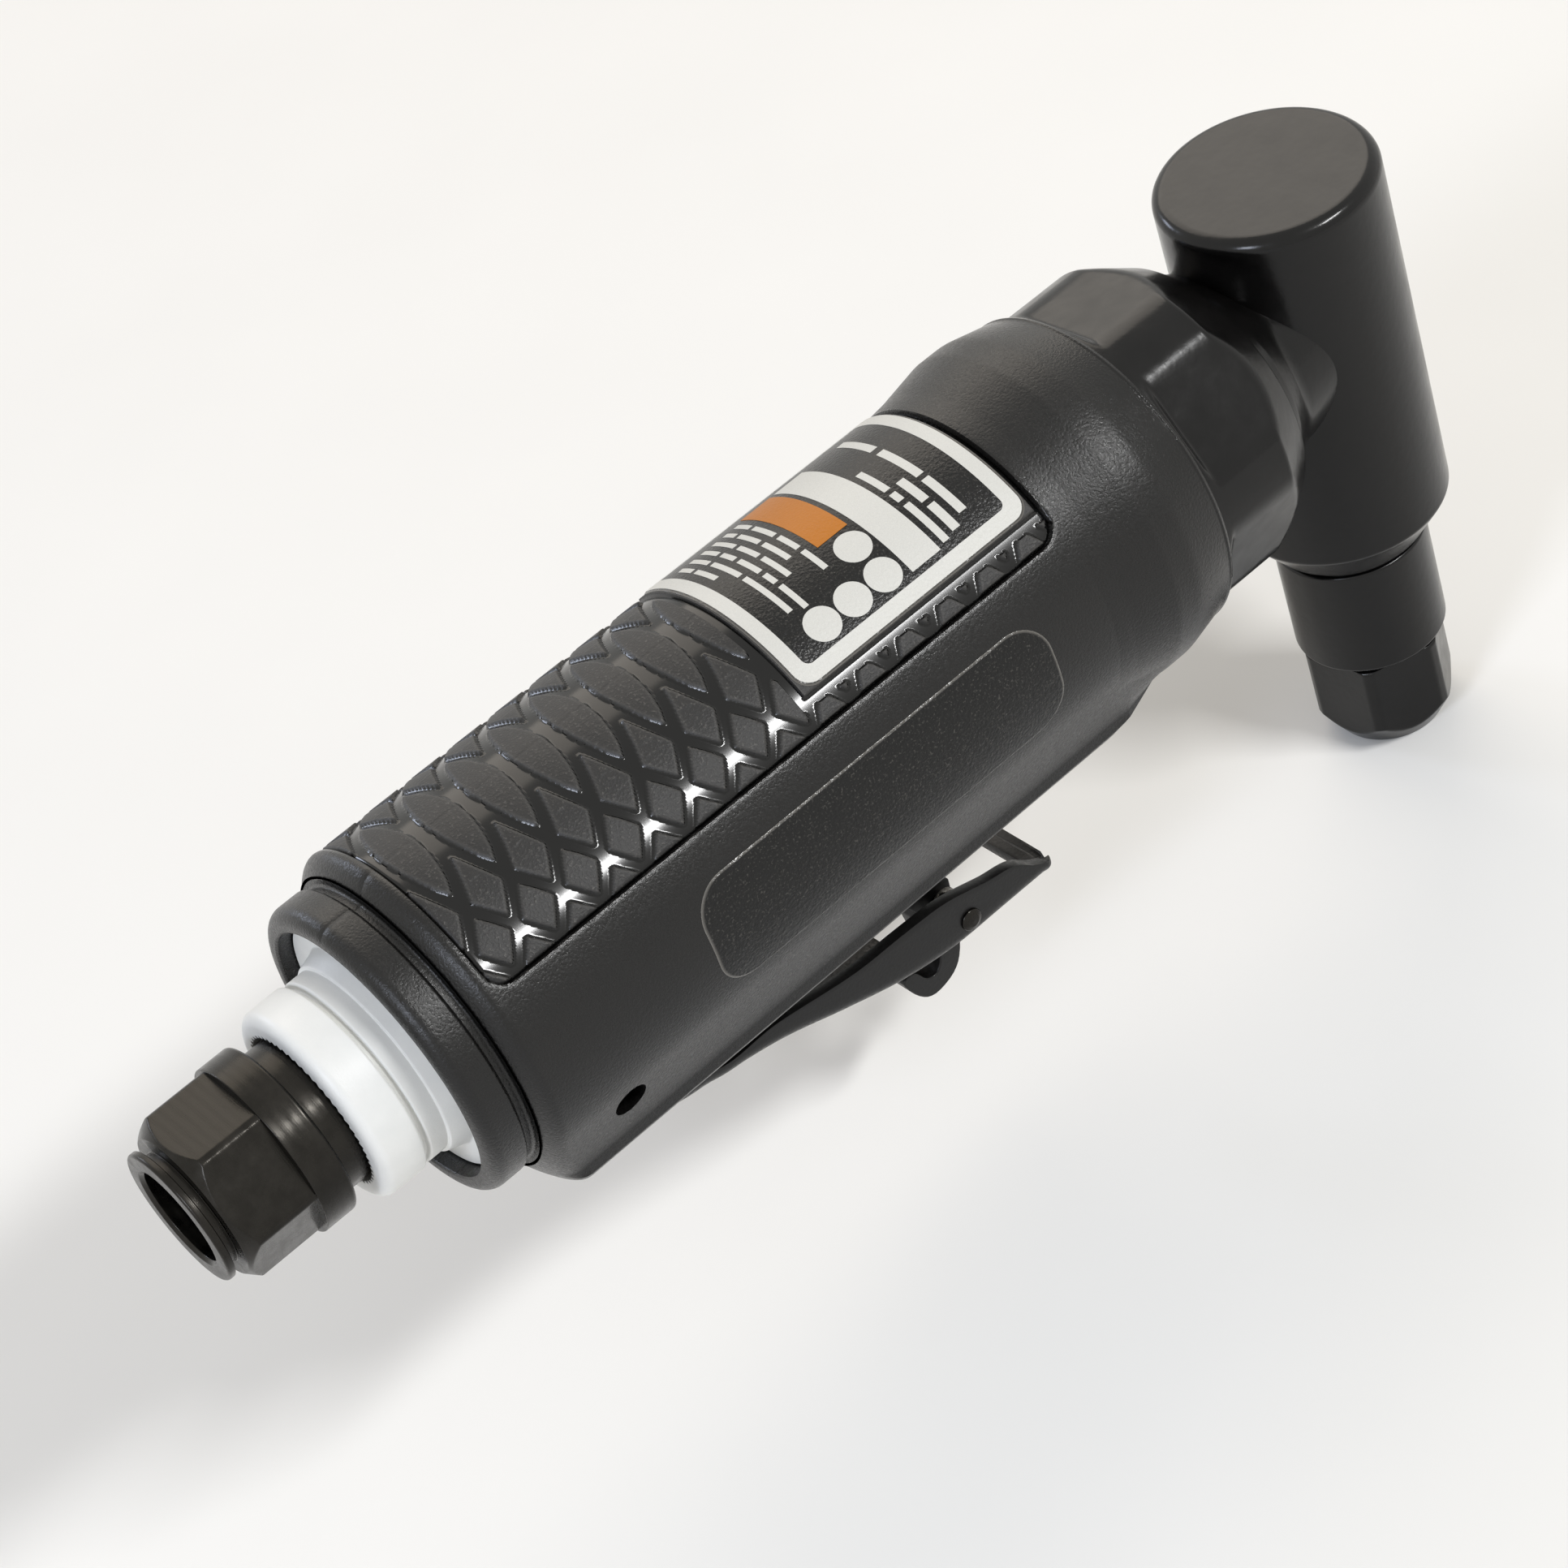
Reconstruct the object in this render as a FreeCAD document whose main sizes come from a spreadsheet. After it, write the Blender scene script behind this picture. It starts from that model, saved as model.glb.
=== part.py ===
import FreeCAD, Part
import math
import os
from types import SimpleNamespace

import Sketcher

# Right angle air die grinder, in millimetres. The handle runs along X, with the air inlet
# at its -X end. The spindle runs along Z, with the collet mouth at the origin.
# Every sub-part is drawn about the crossing of the two axes and lifted by handle_height.

document = FreeCAD.newDocument("die_grinder")
sheet = document.addObject("Spreadsheet::Sheet", "Sizes")

# Driving sizes: name, value in millimetres (degrees and counts where the note says so), note
SIZES = [
    ("cut_overrun", 2.0, "how far every cut runs past its piece"),
    ("running_gap", 0.05, "radial clearance of a shaft in its bore"),
    ("seat_gap", 0.1, "clearance of a piece that slips into its seat"),
    ("joint_reach", 32.4, "spindle axis to the joint of handle and clamp nut"),
    ("barrel_radius", 20.5, "outside of the handle"),
    ("end_ring_wall", 2.5, "rear ring of the housing round its bore"),
    ("end_ring_width", 4.6, "rear ring of the housing"),
    ("end_ring_round", 1.7, "rounding of the rear ring"),
    ("end_groove_depth", 0.9, "groove between rear ring and barrel"),
    ("end_groove_width", 1.2, "groove between rear ring and barrel"),
    ("end_bore_gap", 0.2, "bore of the rear ring round the deflector flange"),
    ("end_bore_depth", 3.4, "bore of the rear ring, down to the deflector seat"),
    ("chamber_step", 1.5, "deflector flange over the edge of the exhaust chamber"),
    ("chamber_depth", 5.3, "exhaust chamber behind the deflector"),
    ("chamber_wall", 8.0, "floor of the exhaust chamber to the lever pivot"),
    ("shoulder_round", 3.4, "rounding of the barrel's rear shoulder"),
    ("bell_rise", 1.3, "widest place of the bell past the barrel"),
    ("bell_crest_width", 3.2, "length of the bell's crest"),
    ("bell_front_length", 6.2, "crest to joint plane"),
    ("bell_flare_length", 5.6, "barrel to crest"),
    ("bell_foot_length", 2.6, "gentle start of the flare"),
    ("bell_foot_rise", 0.35, "gentle start of the flare"),
    ("lug_drop", 1.5, "flat underside below the barrel"),
    ("lug_flat_half", 9.0, "half width of the flat underside"),
    ("lug_corner_radius", 6.4, "long edges of the underside"),
    ("lug_wall_lean", 25.0, "lean of the lug's side walls, degrees"),
    ("housing_wall", 2.9, "outside of the barrel to the motor bore"),
    ("motor_bore_length", 59.6, "joint plane to the floor of the motor bore"),
    ("exhaust_hole_radius", 1.5, "exhaust passages"),
    ("exhaust_hole_inset", 2.5, "outside of the motor to the row of exhaust passages"),
    ("exhaust_hole_step", 32.0, "angle between exhaust passages, degrees"),
    ("grip_front_gap", 18.1, "joint plane to the front of the grip"),
    ("grip_rear_gap", 2.8, "rear shoulder of the barrel to the rear of the grip"),
    ("grip_spread", 108.0, "angle that the grip covers, degrees"),
    ("grip_depth", 1.5, "depth of the grip recess"),
    ("grip_base_thickness", 1.0, "rubber between the raised lozenges"),
    ("label_length", 33.2, "rating label along the handle"),
    ("label_front_gap", 19.0, "joint plane to the front of the rating label"),
    ("label_spread", 86.0, "angle that the rating label covers, degrees"),
    ("film_thickness", 0.15, "labels"),
    ("plate_length", 50.0, "side plate film along the handle"),
    ("plate_front_gap", 25.8, "joint plane to the front of the side plate"),
    ("plate_spread", 40.0, "angle that the side plate covers, degrees"),
    ("inlet_face_radius", 8.1, "front ring of the inlet bushing"),
    ("inlet_ring_width", 0.9, "front ring of the inlet bushing"),
    ("inlet_groove_radius", 7.0, "groove behind the front ring"),
    ("inlet_groove_width", 1.1, "groove behind the front ring"),
    ("inlet_hex_length", 8.9, "hexagon of the inlet bushing"),
    ("inlet_hex_width", 18.0, "hexagon across its flats"),
    ("inlet_hex_round", 10.2, "round bar that the hexagon is milled from"),
    ("inlet_hex_chamfer", 1.5, "turned chamfer on the hexagon"),
    ("inlet_collar_radius", 10.5, "collar of the inlet bushing"),
    ("inlet_collar_width", 4.0, "collar of the inlet bushing"),
    ("inlet_tube_radius", 8.8, "tube of the inlet bushing"),
    ("inlet_tube_length", 20.3, "tube of the inlet bushing, mostly in the deflector"),
    ("inlet_tail_radius", 6.2, "tail screwed into the housing"),
    ("inlet_tail_length", 9.0, "tail screwed into the housing"),
    ("inlet_thread_radius", 5.7, "minor radius of the quarter inch pipe thread"),
    ("inlet_thread_length", 12.5, "pipe thread"),
    ("inlet_relief_radius", 6.0, "thread run-out that holds the screen"),
    ("inlet_relief_width", 1.0, "thread run-out that holds the screen"),
    ("inlet_bore_radius", 4.2, "air way through the bushing"),
    ("inlet_edge", 0.4, "broken edges of the bushing"),
    ("screen_thickness", 0.8, "inlet screen"),
    ("screen_hole_radius", 0.7, "holes of the inlet screen"),
    ("screen_hole_ring", 2.6, "radius of the ring of screen holes"),
    ("oring_section", 1.5, "thickness of the small seal rings"),
    ("deflector_flange_radius", 15.7, "deflector flange"),
    ("deflector_flange_width", 1.5, "deflector flange"),
    ("deflector_root_radius", 12.8, "deflector barrel at its flange"),
    ("deflector_barrel_radius", 12.0, "deflector barrel at its thin end"),
    ("deflector_barrel_length", 2.4, "deflector barrel"),
    ("deflector_rib_radius", 11.7, "slim ring of the deflector"),
    ("deflector_rib_width", 2.3, "slim ring of the deflector"),
    ("deflector_groove_radius", 10.9, "groove of the deflector"),
    ("deflector_groove_width", 0.7, "groove of the deflector"),
    ("deflector_ring_radius", 11.9, "thick front ring of the deflector"),
    ("deflector_ring_width", 5.3, "thick front ring of the deflector"),
    ("deflector_ring_round", 1.3, "rounding of the front ring"),
    ("deflector_bore_radius", 10.1, "inside of the deflector"),
    ("deflector_lip_radius", 9.2, "front opening round the tube"),
    ("deflector_lip_width", 2.0, "front lip of the deflector"),
    ("valve_reach", 11.5, "lever pivot to the valve axis"),
    ("valve_bore_radius", 4.6, "cross bore of the throttle valve"),
    ("valve_bore_top", 7.0, "top of the cross bore above the handle axis"),
    ("valve_seat_depth", 4.0, "valve seat below the handle axis"),
    ("valve_well_depth", 17.0, "floor of the lever slot at the valve"),
    ("valve_guide_depth", 14.6, "stem guide below the handle axis"),
    ("valve_port_radius", 2.6, "inside of the valve seat"),
    ("valve_stem_radius", 1.5, "valve stem"),
    ("valve_stem_gap", 0.3, "lower end of the valve stem to the lever"),
    ("valve_head_radius", 3.5, "poppet"),
    ("valve_head_thickness", 1.4, "poppet"),
    ("valve_seal_thickness", 1.0, "rubber washer under the poppet"),
    ("valve_spring_radius", 2.6, "valve spring, middle of its wire"),
    ("valve_spring_wire", 0.4, "valve spring, radius of its wire"),
    ("air_passage_radius", 2.2, "passage from valve to motor"),
    ("air_passage_depth", 11.8, "passage from valve to motor, below the handle axis"),
    ("lever_pivot_reach", 30.0, "floor of the motor bore to the lever pivot"),
    ("lever_pivot_depth", 10.9, "lever pivot below the handle axis"),
    ("lever_width", 16.0, "throttle lever over its side walls"),
    ("lever_reach", 63.8, "lever pivot to the tip of the pad"),
    ("lever_pad_drop", 15.0, "underside of the housing to the underside of the pad"),
    ("lever_channel_width", 13.0, "throttle lever between its side walls"),
    ("lever_ear_radius", 3.2, "lever round its pivot"),
    ("lever_side_gap", 0.4, "lever to the side of its slot"),
    ("lever_pin_radius", 1.5, "lever pin"),
    ("lever_pin_half", 13.0, "half length of the lever pin"),
    ("lever_pin_recess_radius", 2.1, "holes that the lever pin is driven in through"),
    ("slot_rear_reach", 5.4, "lever pivot to the rear end of the lever slot"),
    ("slot_step_reach", 5.8, "lever pivot to the step in the lever slot"),
    ("slot_front_reach", 23.6, "lever pivot to the front end of the lever slot"),
    ("slot_pivot_depth", 7.4, "roof of the slot over the lever pivot"),
    ("lock_pivot_reach", 13.2, "tip of the pad to the lock pivot"),
    ("lock_pivot_rise", 3.0, "underside of the pad to the lock pivot"),
    ("lock_thickness", 5.0, "lock lever"),
    ("lock_pin_radius", 1.0, "lock pin"),
    ("lock_hub_radius", 2.6, "hub of the lock lever"),
    ("lock_drop", 12.0, "lock pivot to the lowest point of its tab"),
    ("lock_arm_length", 12.4, "lock pivot to the centre of its arm tip"),
    ("lock_arm_radius", 1.4, "tip of the lock arm"),
    ("lock_arm_lean", 35.0, "lean of the lock arm, degrees"),
    ("lock_spring_radius", 1.6, "lock spring, middle of its wire"),
    ("lock_spring_width", 3.4, "lock spring along its pin"),
    ("lock_spring_wire", 0.3, "lock spring, radius of its wire"),
    ("lever_slot_width", 12.4, "window and slot in the lever's pad"),
    ("lever_slot_reach", 21.8, "tip of the pad to the rear end of its window"),
    ("lever_slot_length", 17.0, "window in the pad"),
    ("motor_sleeve_wall", 1.4, "steel sleeve round the motor"),
    ("sleeve_nose_length", 6.9, "threaded nose of the sleeve, past the joint plane"),
    ("end_plate_width", 7.0, "each motor end plate"),
    ("cylinder_length", 35.0, "motor cylinder"),
    ("cylinder_wall", 3.1, "mean wall of the motor cylinder"),
    ("cylinder_offset", 1.55, "bore of the motor cylinder off the rotor axis"),
    ("rotor_side_gap", 0.15, "rotor to the near side of its bore"),
    ("rotor_end_gap", 0.1, "rotor to each end plate"),
    ("rotor_shaft_radius", 4.0, "rotor journals"),
    ("rotor_socket_radius", 2.6, "splined socket in the rotor's front end"),
    ("rotor_socket_depth", 8.0, "splined socket in the rotor's front end"),
    ("rotor_front_length", 12.0, "rotor shaft past the motor cylinder"),
    ("blade_count", 5.0, "rotor blades, a count"),
    ("blade_slot_width", 1.7, "slots in the rotor"),
    ("blade_gap", 0.1, "blade to the sides of its slot"),
    ("exhaust_port_length", 10.0, "port between cylinder bore and exhaust passages"),
    ("exhaust_port_width", 15.0, "port between cylinder bore and exhaust passages"),
    ("motor_bearing_radius", 9.0, "motor bearings, outside"),
    ("motor_bearing_width", 5.0, "motor bearings"),
    ("bearing_gap", 0.1, "outer ring to inner ring"),
    ("bearing_inset", 0.3, "inner rings set back from the outer rings"),
    ("spacer_wall", 2.4, "spacer between motor and angle head"),
    ("spigot_length", 4.5, "spigot of the angle head in the motor sleeve"),
    ("flange_inset", 0.3, "flange of the angle head inside the clamp nut"),
    ("flange_width", 3.4, "flange of the angle head under the clamp nut"),
    ("clamp_wall", 2.0, "clamp nut round its thread"),
    ("clamp_flat_depth", 1.2, "six flats into the clamp nut"),
    ("clamp_flat_turn", 6.0, "turn of the clamp nut's flats, degrees"),
    ("clamp_flat_margin", 2.0, "clamp nut's flats to the joint plane"),
    ("clamp_body_length", 11.0, "straight outside of the clamp nut"),
    ("clamp_nose_length", 5.3, "coned nose of the clamp nut"),
    ("clamp_nose_width", 1.0, "front end of the clamp nut round its opening"),
    ("clamp_lip", 2.0, "clamp nut over the flange"),
    ("clamp_edge", 0.4, "broken edges of the clamp nut"),
    ("neck_root_gap", 0.3, "neck of the angle head in the clamp nut"),
    ("neck_waist_radius", 12.5, "neck of the angle head at its waist"),
    ("neck_waist_reach", 11.5, "spindle axis to the waist of the neck"),
    ("neck_tip_radius", 11.6, "neck of the angle head inside the head"),
    ("neck_tip_reach", 5.0, "spindle axis to the end of the neck"),
    ("head_radius", 13.05, "angle head"),
    ("head_rise", 19.8, "handle axis to the top of the head"),
    ("head_top_round", 1.6, "rounding of the head's top edge"),
    ("head_drop", 27.6, "handle axis to the head's lower chamfer"),
    ("head_chamfer_height", 4.7, "lower chamfer of the head"),
    ("head_mouth_radius", 9.75, "lower end of the head"),
    ("head_bore_radius", 9.1, "bore of the head"),
    ("head_bore_top", 7.0, "bore of the head above the handle axis"),
    ("head_pocket_top", 14.2, "upper bearing pocket above the handle axis"),
    ("pinion_bore_radius", 11.0, "bore for the pinion bearings"),
    ("pinion_bore_floor", 16.5, "spindle axis to the floor of the pinion bearing bore"),
    ("pinion_bearing_width", 5.0, "pinion bearings"),
    ("pinion_retainer_width", 1.8, "ring that keeps the pinion bearings"),
    ("pinion_shaft_radius", 5.0, "pinion shaft"),
    ("pinion_hub_radius", 7.4, "pinion behind its teeth"),
    ("gear_hub_radius", 6.2, "spindle gear behind its teeth"),
    ("gear_teeth", 12.0, "teeth of each bevel gear, a count"),
    ("gear_pitch_radius", 8.0, "pitch radius at the outer ends of the teeth"),
    ("gear_face_width", 3.4, "length of the teeth"),
    ("gear_addendum", 0.95, "pitch cone to tooth crest at the outer end"),
    ("gear_dedendum", 1.25, "pitch cone to tooth root at the outer end"),
    ("gear_backlash", 0.24, "thinning of each tooth at the outer end"),
    ("spindle_top_radius", 4.0, "spindle in its upper bearing"),
    ("spindle_mid_radius", 4.2, "spindle at the gear"),
    ("spindle_seat_radius", 4.5, "spindle in its lower bearings"),
    ("spindle_nose_radius", 6.2, "spindle through the bearing cap and in the nut"),
    ("upper_bearing_radius", 7.5, "upper spindle bearing"),
    ("upper_bearing_width", 5.0, "upper spindle bearing"),
    ("lower_bearing_top", 13.6, "handle axis to the lower spindle bearings"),
    ("lower_bearing_width", 5.0, "each lower spindle bearing"),
    ("lower_bearing_split", 0.2, "between the lower spindle bearings"),
    ("cap_radius", 9.3, "bearing cap"),
    ("cap_length", 15.4, "visible length of the bearing cap"),
    ("cap_groove_width", 0.9, "groove between head and bearing cap"),
    ("cap_groove_radius", 8.9, "groove between head and bearing cap"),
    ("cap_edge", 0.5, "broken edges of the bearing cap"),
    ("cap_thread_radius", 9.0, "thread of the bearing cap in the head"),
    ("cap_bore_radius", 6.5, "bore of the bearing cap"),
    ("cap_seal_radius", 8.0, "seat of the spindle seal"),
    ("cap_seal_width", 2.5, "spindle seal"),
    ("nut_gap", 0.6, "bearing cap to collet nut"),
    ("nut_length", 13.3, "collet nut"),
    ("nut_width", 16.0, "collet nut across its flats"),
    ("nut_round", 8.9, "turned corners of the collet nut"),
    ("nut_chamfer_height", 3.6, "coned end of the collet nut"),
    ("nut_end_radius", 6.7, "end face of the collet nut"),
    ("nut_mouth_radius", 4.9, "opening of the collet nut"),
    ("nut_mouth_length", 2.2, "opening of the collet nut"),
    ("nut_chamber_radius", 5.7, "inside of the collet nut round the collet"),
    ("nut_cone_height", 1.3, "cone of the collet nut on the collet"),
    ("nut_thread_depth", 7.4, "collet nut thread on the spindle nose"),
    ("collet_bore_radius", 3.175, "quarter inch shank"),
    ("collet_length", 18.5, "collet"),
    ("collet_body_radius", 4.6, "collet in the spindle"),
    ("collet_collar_radius", 5.5, "collet collar under the nut"),
    ("collet_collar_height", 2.0, "straight collar of the collet"),
    ("collet_cone_height", 1.2, "cone of the collet under the nut"),
    ("collet_tip_radius", 4.5, "collet in the nut's mouth"),
    ("collet_slot_width", 0.9, "slots of the collet"),
    ("collet_slot_length", 14.0, "slots of the collet"),
]


class Size:
    """A length with the words that work it out from the sheet."""

    def __init__(self, value, words):
        self.value = value
        self.words = words

    def __add__(self, other):
        other = as_size(other)
        return Size(self.value + other.value, f"({self.words} + {other.words})")

    def __sub__(self, other):
        other = as_size(other)
        return Size(self.value - other.value, f"({self.words} - {other.words})")

    def __mul__(self, share):
        return Size(self.value * share, f"({self.words} * {share!r})")

    def __truediv__(self, share):
        return Size(self.value / share, f"({self.words} / {share!r})")

    def __neg__(self):
        return Size(-self.value, f"(0 - {self.words})")

    __rmul__ = __mul__


def as_size(number):
    """Let a plain zero stand among the sizes."""
    return number if isinstance(number, Size) else Size(number, repr(number))


for row, (name, value, note) in enumerate(SIZES, start=1):
    sheet.set(f"A{row}", note)
    sheet.set(f"B{row}", str(value))
    sheet.setAlias(f"B{row}", name)
document.recompute()
d = SimpleNamespace(**{name: Size(value, f"Sizes.{name}") for name, value, note in SIZES})


# Collet mouth to handle axis: half of the head, then the bearing cap and the collet nut below it

handle_height = (d.head_drop + d.head_chamfer_height + d.cap_groove_width + d.cap_length
                 + d.nut_gap + d.nut_length)

# Drawing helpers

def new_body(label, x=None, z=None):
    """A sub-part of its own, drawn about the axes' crossing or about a station of its own."""
    body = document.addObject("PartDesign::Body", label)
    body.Label = label
    lift = handle_height if z is None else handle_height + z
    body.setExpression("Placement.Base.z", lift.words)
    if x is not None:
        body.setExpression("Placement.Base.x", x.words)
    return body


def new_sketch(body, role="XZ_Plane", lift=None):
    """A sketch on one of the body's own planes, moved along the plane's normal by lift."""
    sketch = body.newObject("Sketcher::SketchObject", "Sketch")
    plane = [face for face in body.Origin.OriginFeatures if face.Role == role][0]
    sketch.AttachmentSupport = [(plane, "")]
    sketch.MapMode = "FlatFace"
    if lift is not None:
        sketch.setExpression("AttachmentOffset.Base.z", lift.words)
    return sketch


def hold(sketch, kind, size, *where):
    """Tie one coordinate to the sheet; a coordinate of nothing lies on the axis."""
    if size.words == "0":
        axis = -2 if kind == "DistanceX" else -1
        sketch.addConstraint(Sketcher.Constraint("PointOnObject", *where, axis))
        return
    index = sketch.addConstraint(Sketcher.Constraint(kind, -1, 1, *where, size.value))
    sketch.setExpression(f"Constraints[{index}]", size.words)


def draw_outline(sketch, corners):
    """A closed outline. A corner is (u, v), or (u, v, centre u, centre v, turn) where an arc
    starts: turn is 1 for an arc to the left and -1 for one to the right."""
    corners = [tuple(as_size(part) if i < 4 else part for i, part in enumerate(c)) for c in corners]
    pieces = []
    for here, after in zip(corners, corners[1:] + corners[:1]):
        start = FreeCAD.Vector(here[0].value, here[1].value, 0)
        end = FreeCAD.Vector(after[0].value, after[1].value, 0)
        if len(here) == 2:
            pieces.append((sketch.addGeometry(Part.LineSegment(start, end)), 1, 2))
            continue
        centre = FreeCAD.Vector(here[2].value, here[3].value, 0)
        first, last = (start, end) if here[4] > 0 else (end, start)
        angles = [math.atan2(p.y - centre.y, p.x - centre.x) for p in (first, last)]
        round_line = Part.Circle(centre, FreeCAD.Vector(0, 0, 1), (start - centre).Length)
        index = sketch.addGeometry(Part.ArcOfCircle(round_line, *angles))
        pieces.append((index, 1, 2) if here[4] > 0 else (index, 2, 1))
    for i, (piece, begin, finish) in enumerate(pieces):
        following = pieces[(i + 1) % len(pieces)]
        sketch.addConstraint(Sketcher.Constraint("Coincident", piece, finish, following[0], following[1]))
        hold(sketch, "DistanceX", corners[i][0], piece, begin)
        hold(sketch, "DistanceY", corners[i][1], piece, begin)
        if len(corners[i]) > 2:
            hold(sketch, "DistanceX", corners[i][2], piece, 3)


def draw_circle(sketch, u, v, radius):
    """A circle with its centre and radius tied to the sheet."""
    u, v = as_size(u), as_size(v)
    centre = FreeCAD.Vector(u.value, v.value, 0)
    circle = sketch.addGeometry(Part.Circle(centre, FreeCAD.Vector(0, 0, 1), radius.value))
    hold(sketch, "DistanceX", u, circle, 3)
    hold(sketch, "DistanceY", v, circle, 3)
    index = sketch.addConstraint(Sketcher.Constraint("Radius", circle, radius.value))
    sketch.setExpression(f"Constraints[{index}]", radius.words)


def turn(body, corners, axis="H_Axis", kind="Revolution", angle=None, role="XZ_Plane"):
    """Revolve an outline about the handle axis, or about the spindle with V_Axis."""
    sketch = new_sketch(body, role)
    draw_outline(sketch, corners)
    feature = body.newObject(f"PartDesign::{kind}", kind)
    feature.Profile = sketch
    feature.ReferenceAxis = (sketch, [axis])
    if angle is None:
        feature.Angle = 360
    else:
        feature.Midplane = True
        feature.setExpression("Angle", angle.words)
    return feature


def extrude(body, length, kind="Pad", role="XZ_Plane", lift=None, corners=None, circles=()):
    """Pad or pocket an outline or circles, half the length to each side of the sketch."""
    sketch = new_sketch(body, role, lift)
    if corners:
        draw_outline(sketch, corners)
    for circle in circles:
        draw_circle(sketch, *circle)
    feature = body.newObject(f"PartDesign::{kind}", kind)
    feature.Profile = sketch
    feature.Midplane = True
    feature.setExpression("Length", length.words)
    return feature


def pattern(body, feature, count, role="X_Axis"):
    """Repeat a feature evenly round one of the body's own axes."""
    document.recompute()
    row = body.newObject("PartDesign::PolarPattern", "PolarPattern")
    row.Originals = [feature]
    axis = [line for line in body.Origin.OriginFeatures if line.Role == role][0]
    row.Axis = (axis, [""])
    row.Angle = 360
    row.Occurrences = count
    body.Tip = row
    return row


def box_corners(u_low, u_high, v_low, v_high):
    """The four corners of a rectangle."""
    return [(u_low, v_low), (u_high, v_low), (u_high, v_high), (u_low, v_high)]


def ring(label, low, high, inner, outer, axis="H_Axis", x=None):
    """A plain turned ring between two stations along the handle or the spindle."""
    body = new_body(label, x)
    if axis == "H_Axis":
        turn(body, box_corners(low, high, inner, outer), axis)
    else:
        turn(body, box_corners(inner, outer, low, high), axis)
    return body


def bearing(label, low, high, inner, outer, axis="H_Axis"):
    """A shielded ball bearing as its outer and its inner ring."""
    middle = (inner + outer) / 2
    ring(f"{label}_outer", low, high, middle + d.bearing_gap / 2, outer, axis)
    ring(f"{label}_inner", low + d.bearing_inset, high - d.bearing_inset,
         inner, middle - d.bearing_gap / 2, axis)


def turned(u, v, degrees):
    """A point turned about the origin of its sketch."""
    cos = math.cos(math.radians(degrees))
    sin = math.sin(math.radians(degrees))
    return (u * cos - v * sin, u * sin + v * cos)


def coil(body, radius, wire, length, turns, axis, role, lift=None):
    """A wound spring: six-sided wire, which keeps its facets few, carried along a helix."""
    sketch = new_sketch(body, role, lift)
    corners = [turned(wire, as_size(0), 60 * side) for side in range(6)]
    draw_outline(sketch, [(radius + u, v) for u, v in corners])
    feature = body.newObject("PartDesign::AdditiveHelix", "Winding")
    feature.Profile = sketch
    feature.ReferenceAxis = (sketch, [axis])
    feature.Mode = "pitch-height-angle"
    feature.setExpression("Pitch", (length / turns).words)
    feature.setExpression("Height", length.words)


# Radii of the handle, from the barrel in to the motor, and from the deflector out to the rear ring

motor_bore = d.barrel_radius - d.housing_wall
sleeve_inside = motor_bore - d.motor_sleeve_wall
motor_fit = sleeve_inside - d.seat_gap
cylinder_bore = motor_fit - d.cylinder_wall
rotor_radius = cylinder_bore - d.cylinder_offset - d.rotor_side_gap
exhaust_hole_ring = motor_fit - d.exhaust_hole_inset
end_bore = d.deflector_flange_radius + d.end_bore_gap
end_ring = end_bore + d.end_ring_wall
end_groove = end_ring - d.end_groove_depth
chamber_radius = d.deflector_flange_radius - d.chamber_step
bell_crest = d.barrel_radius + d.bell_rise
lug_depth = d.barrel_radius + d.lug_drop
clamp_inside = motor_bore + d.seat_gap
clamp_radius = clamp_inside + d.clamp_wall
clamp_half = clamp_radius - d.clamp_flat_depth
flange_radius = motor_bore - d.flange_inset
clamp_hole = flange_radius - d.clamp_lip
neck_root = clamp_hole - d.neck_root_gap

# Stations along the handle, from the joint plane back to the inlet

joint = -d.joint_reach
motor_floor = joint - d.motor_bore_length
lever_x = motor_floor - d.lever_pivot_reach
chamber_floor = lever_x - d.chamber_wall
flange_seat = chamber_floor - d.chamber_depth
rear_face = flange_seat - d.end_bore_depth
ring_front = rear_face + d.end_ring_width
barrel_rear = ring_front + d.end_groove_width
crest_front = joint - d.bell_front_length
crest_rear = crest_front - d.bell_crest_width
flare_top = crest_rear - d.bell_flare_length
flare_foot = flare_top - d.bell_foot_length
grip_front = joint - d.grip_front_gap
grip_rear = barrel_rear + d.grip_rear_gap
grip_floor = d.barrel_radius - d.grip_depth
valve_x = lever_x + d.valve_reach
lever_z = -d.lever_pivot_depth
lever_drop = lug_depth + d.lever_pad_drop - d.lever_pivot_depth
lock_x = lever_x + d.lever_reach - d.lock_pivot_reach
lock_z = lever_z - lever_drop + d.lock_pivot_rise
slot_half = d.lever_width / 2 + d.lever_side_gap

# Handle housing: moulded barrel with a bell at the front, a ring at the rear, and a lug below

wall_cos = math.cos(math.radians(d.lug_wall_lean.value))
wall_sin = math.sin(math.radians(d.lug_wall_lean.value))
underside = -lug_depth
corner_z = underside + d.lug_corner_radius
wall_top = (d.barrel_radius * wall_cos, -(d.barrel_radius * wall_sin))
wall_foot = (d.lug_flat_half + d.lug_corner_radius * wall_cos, corner_z - d.lug_corner_radius * wall_sin)

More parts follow.
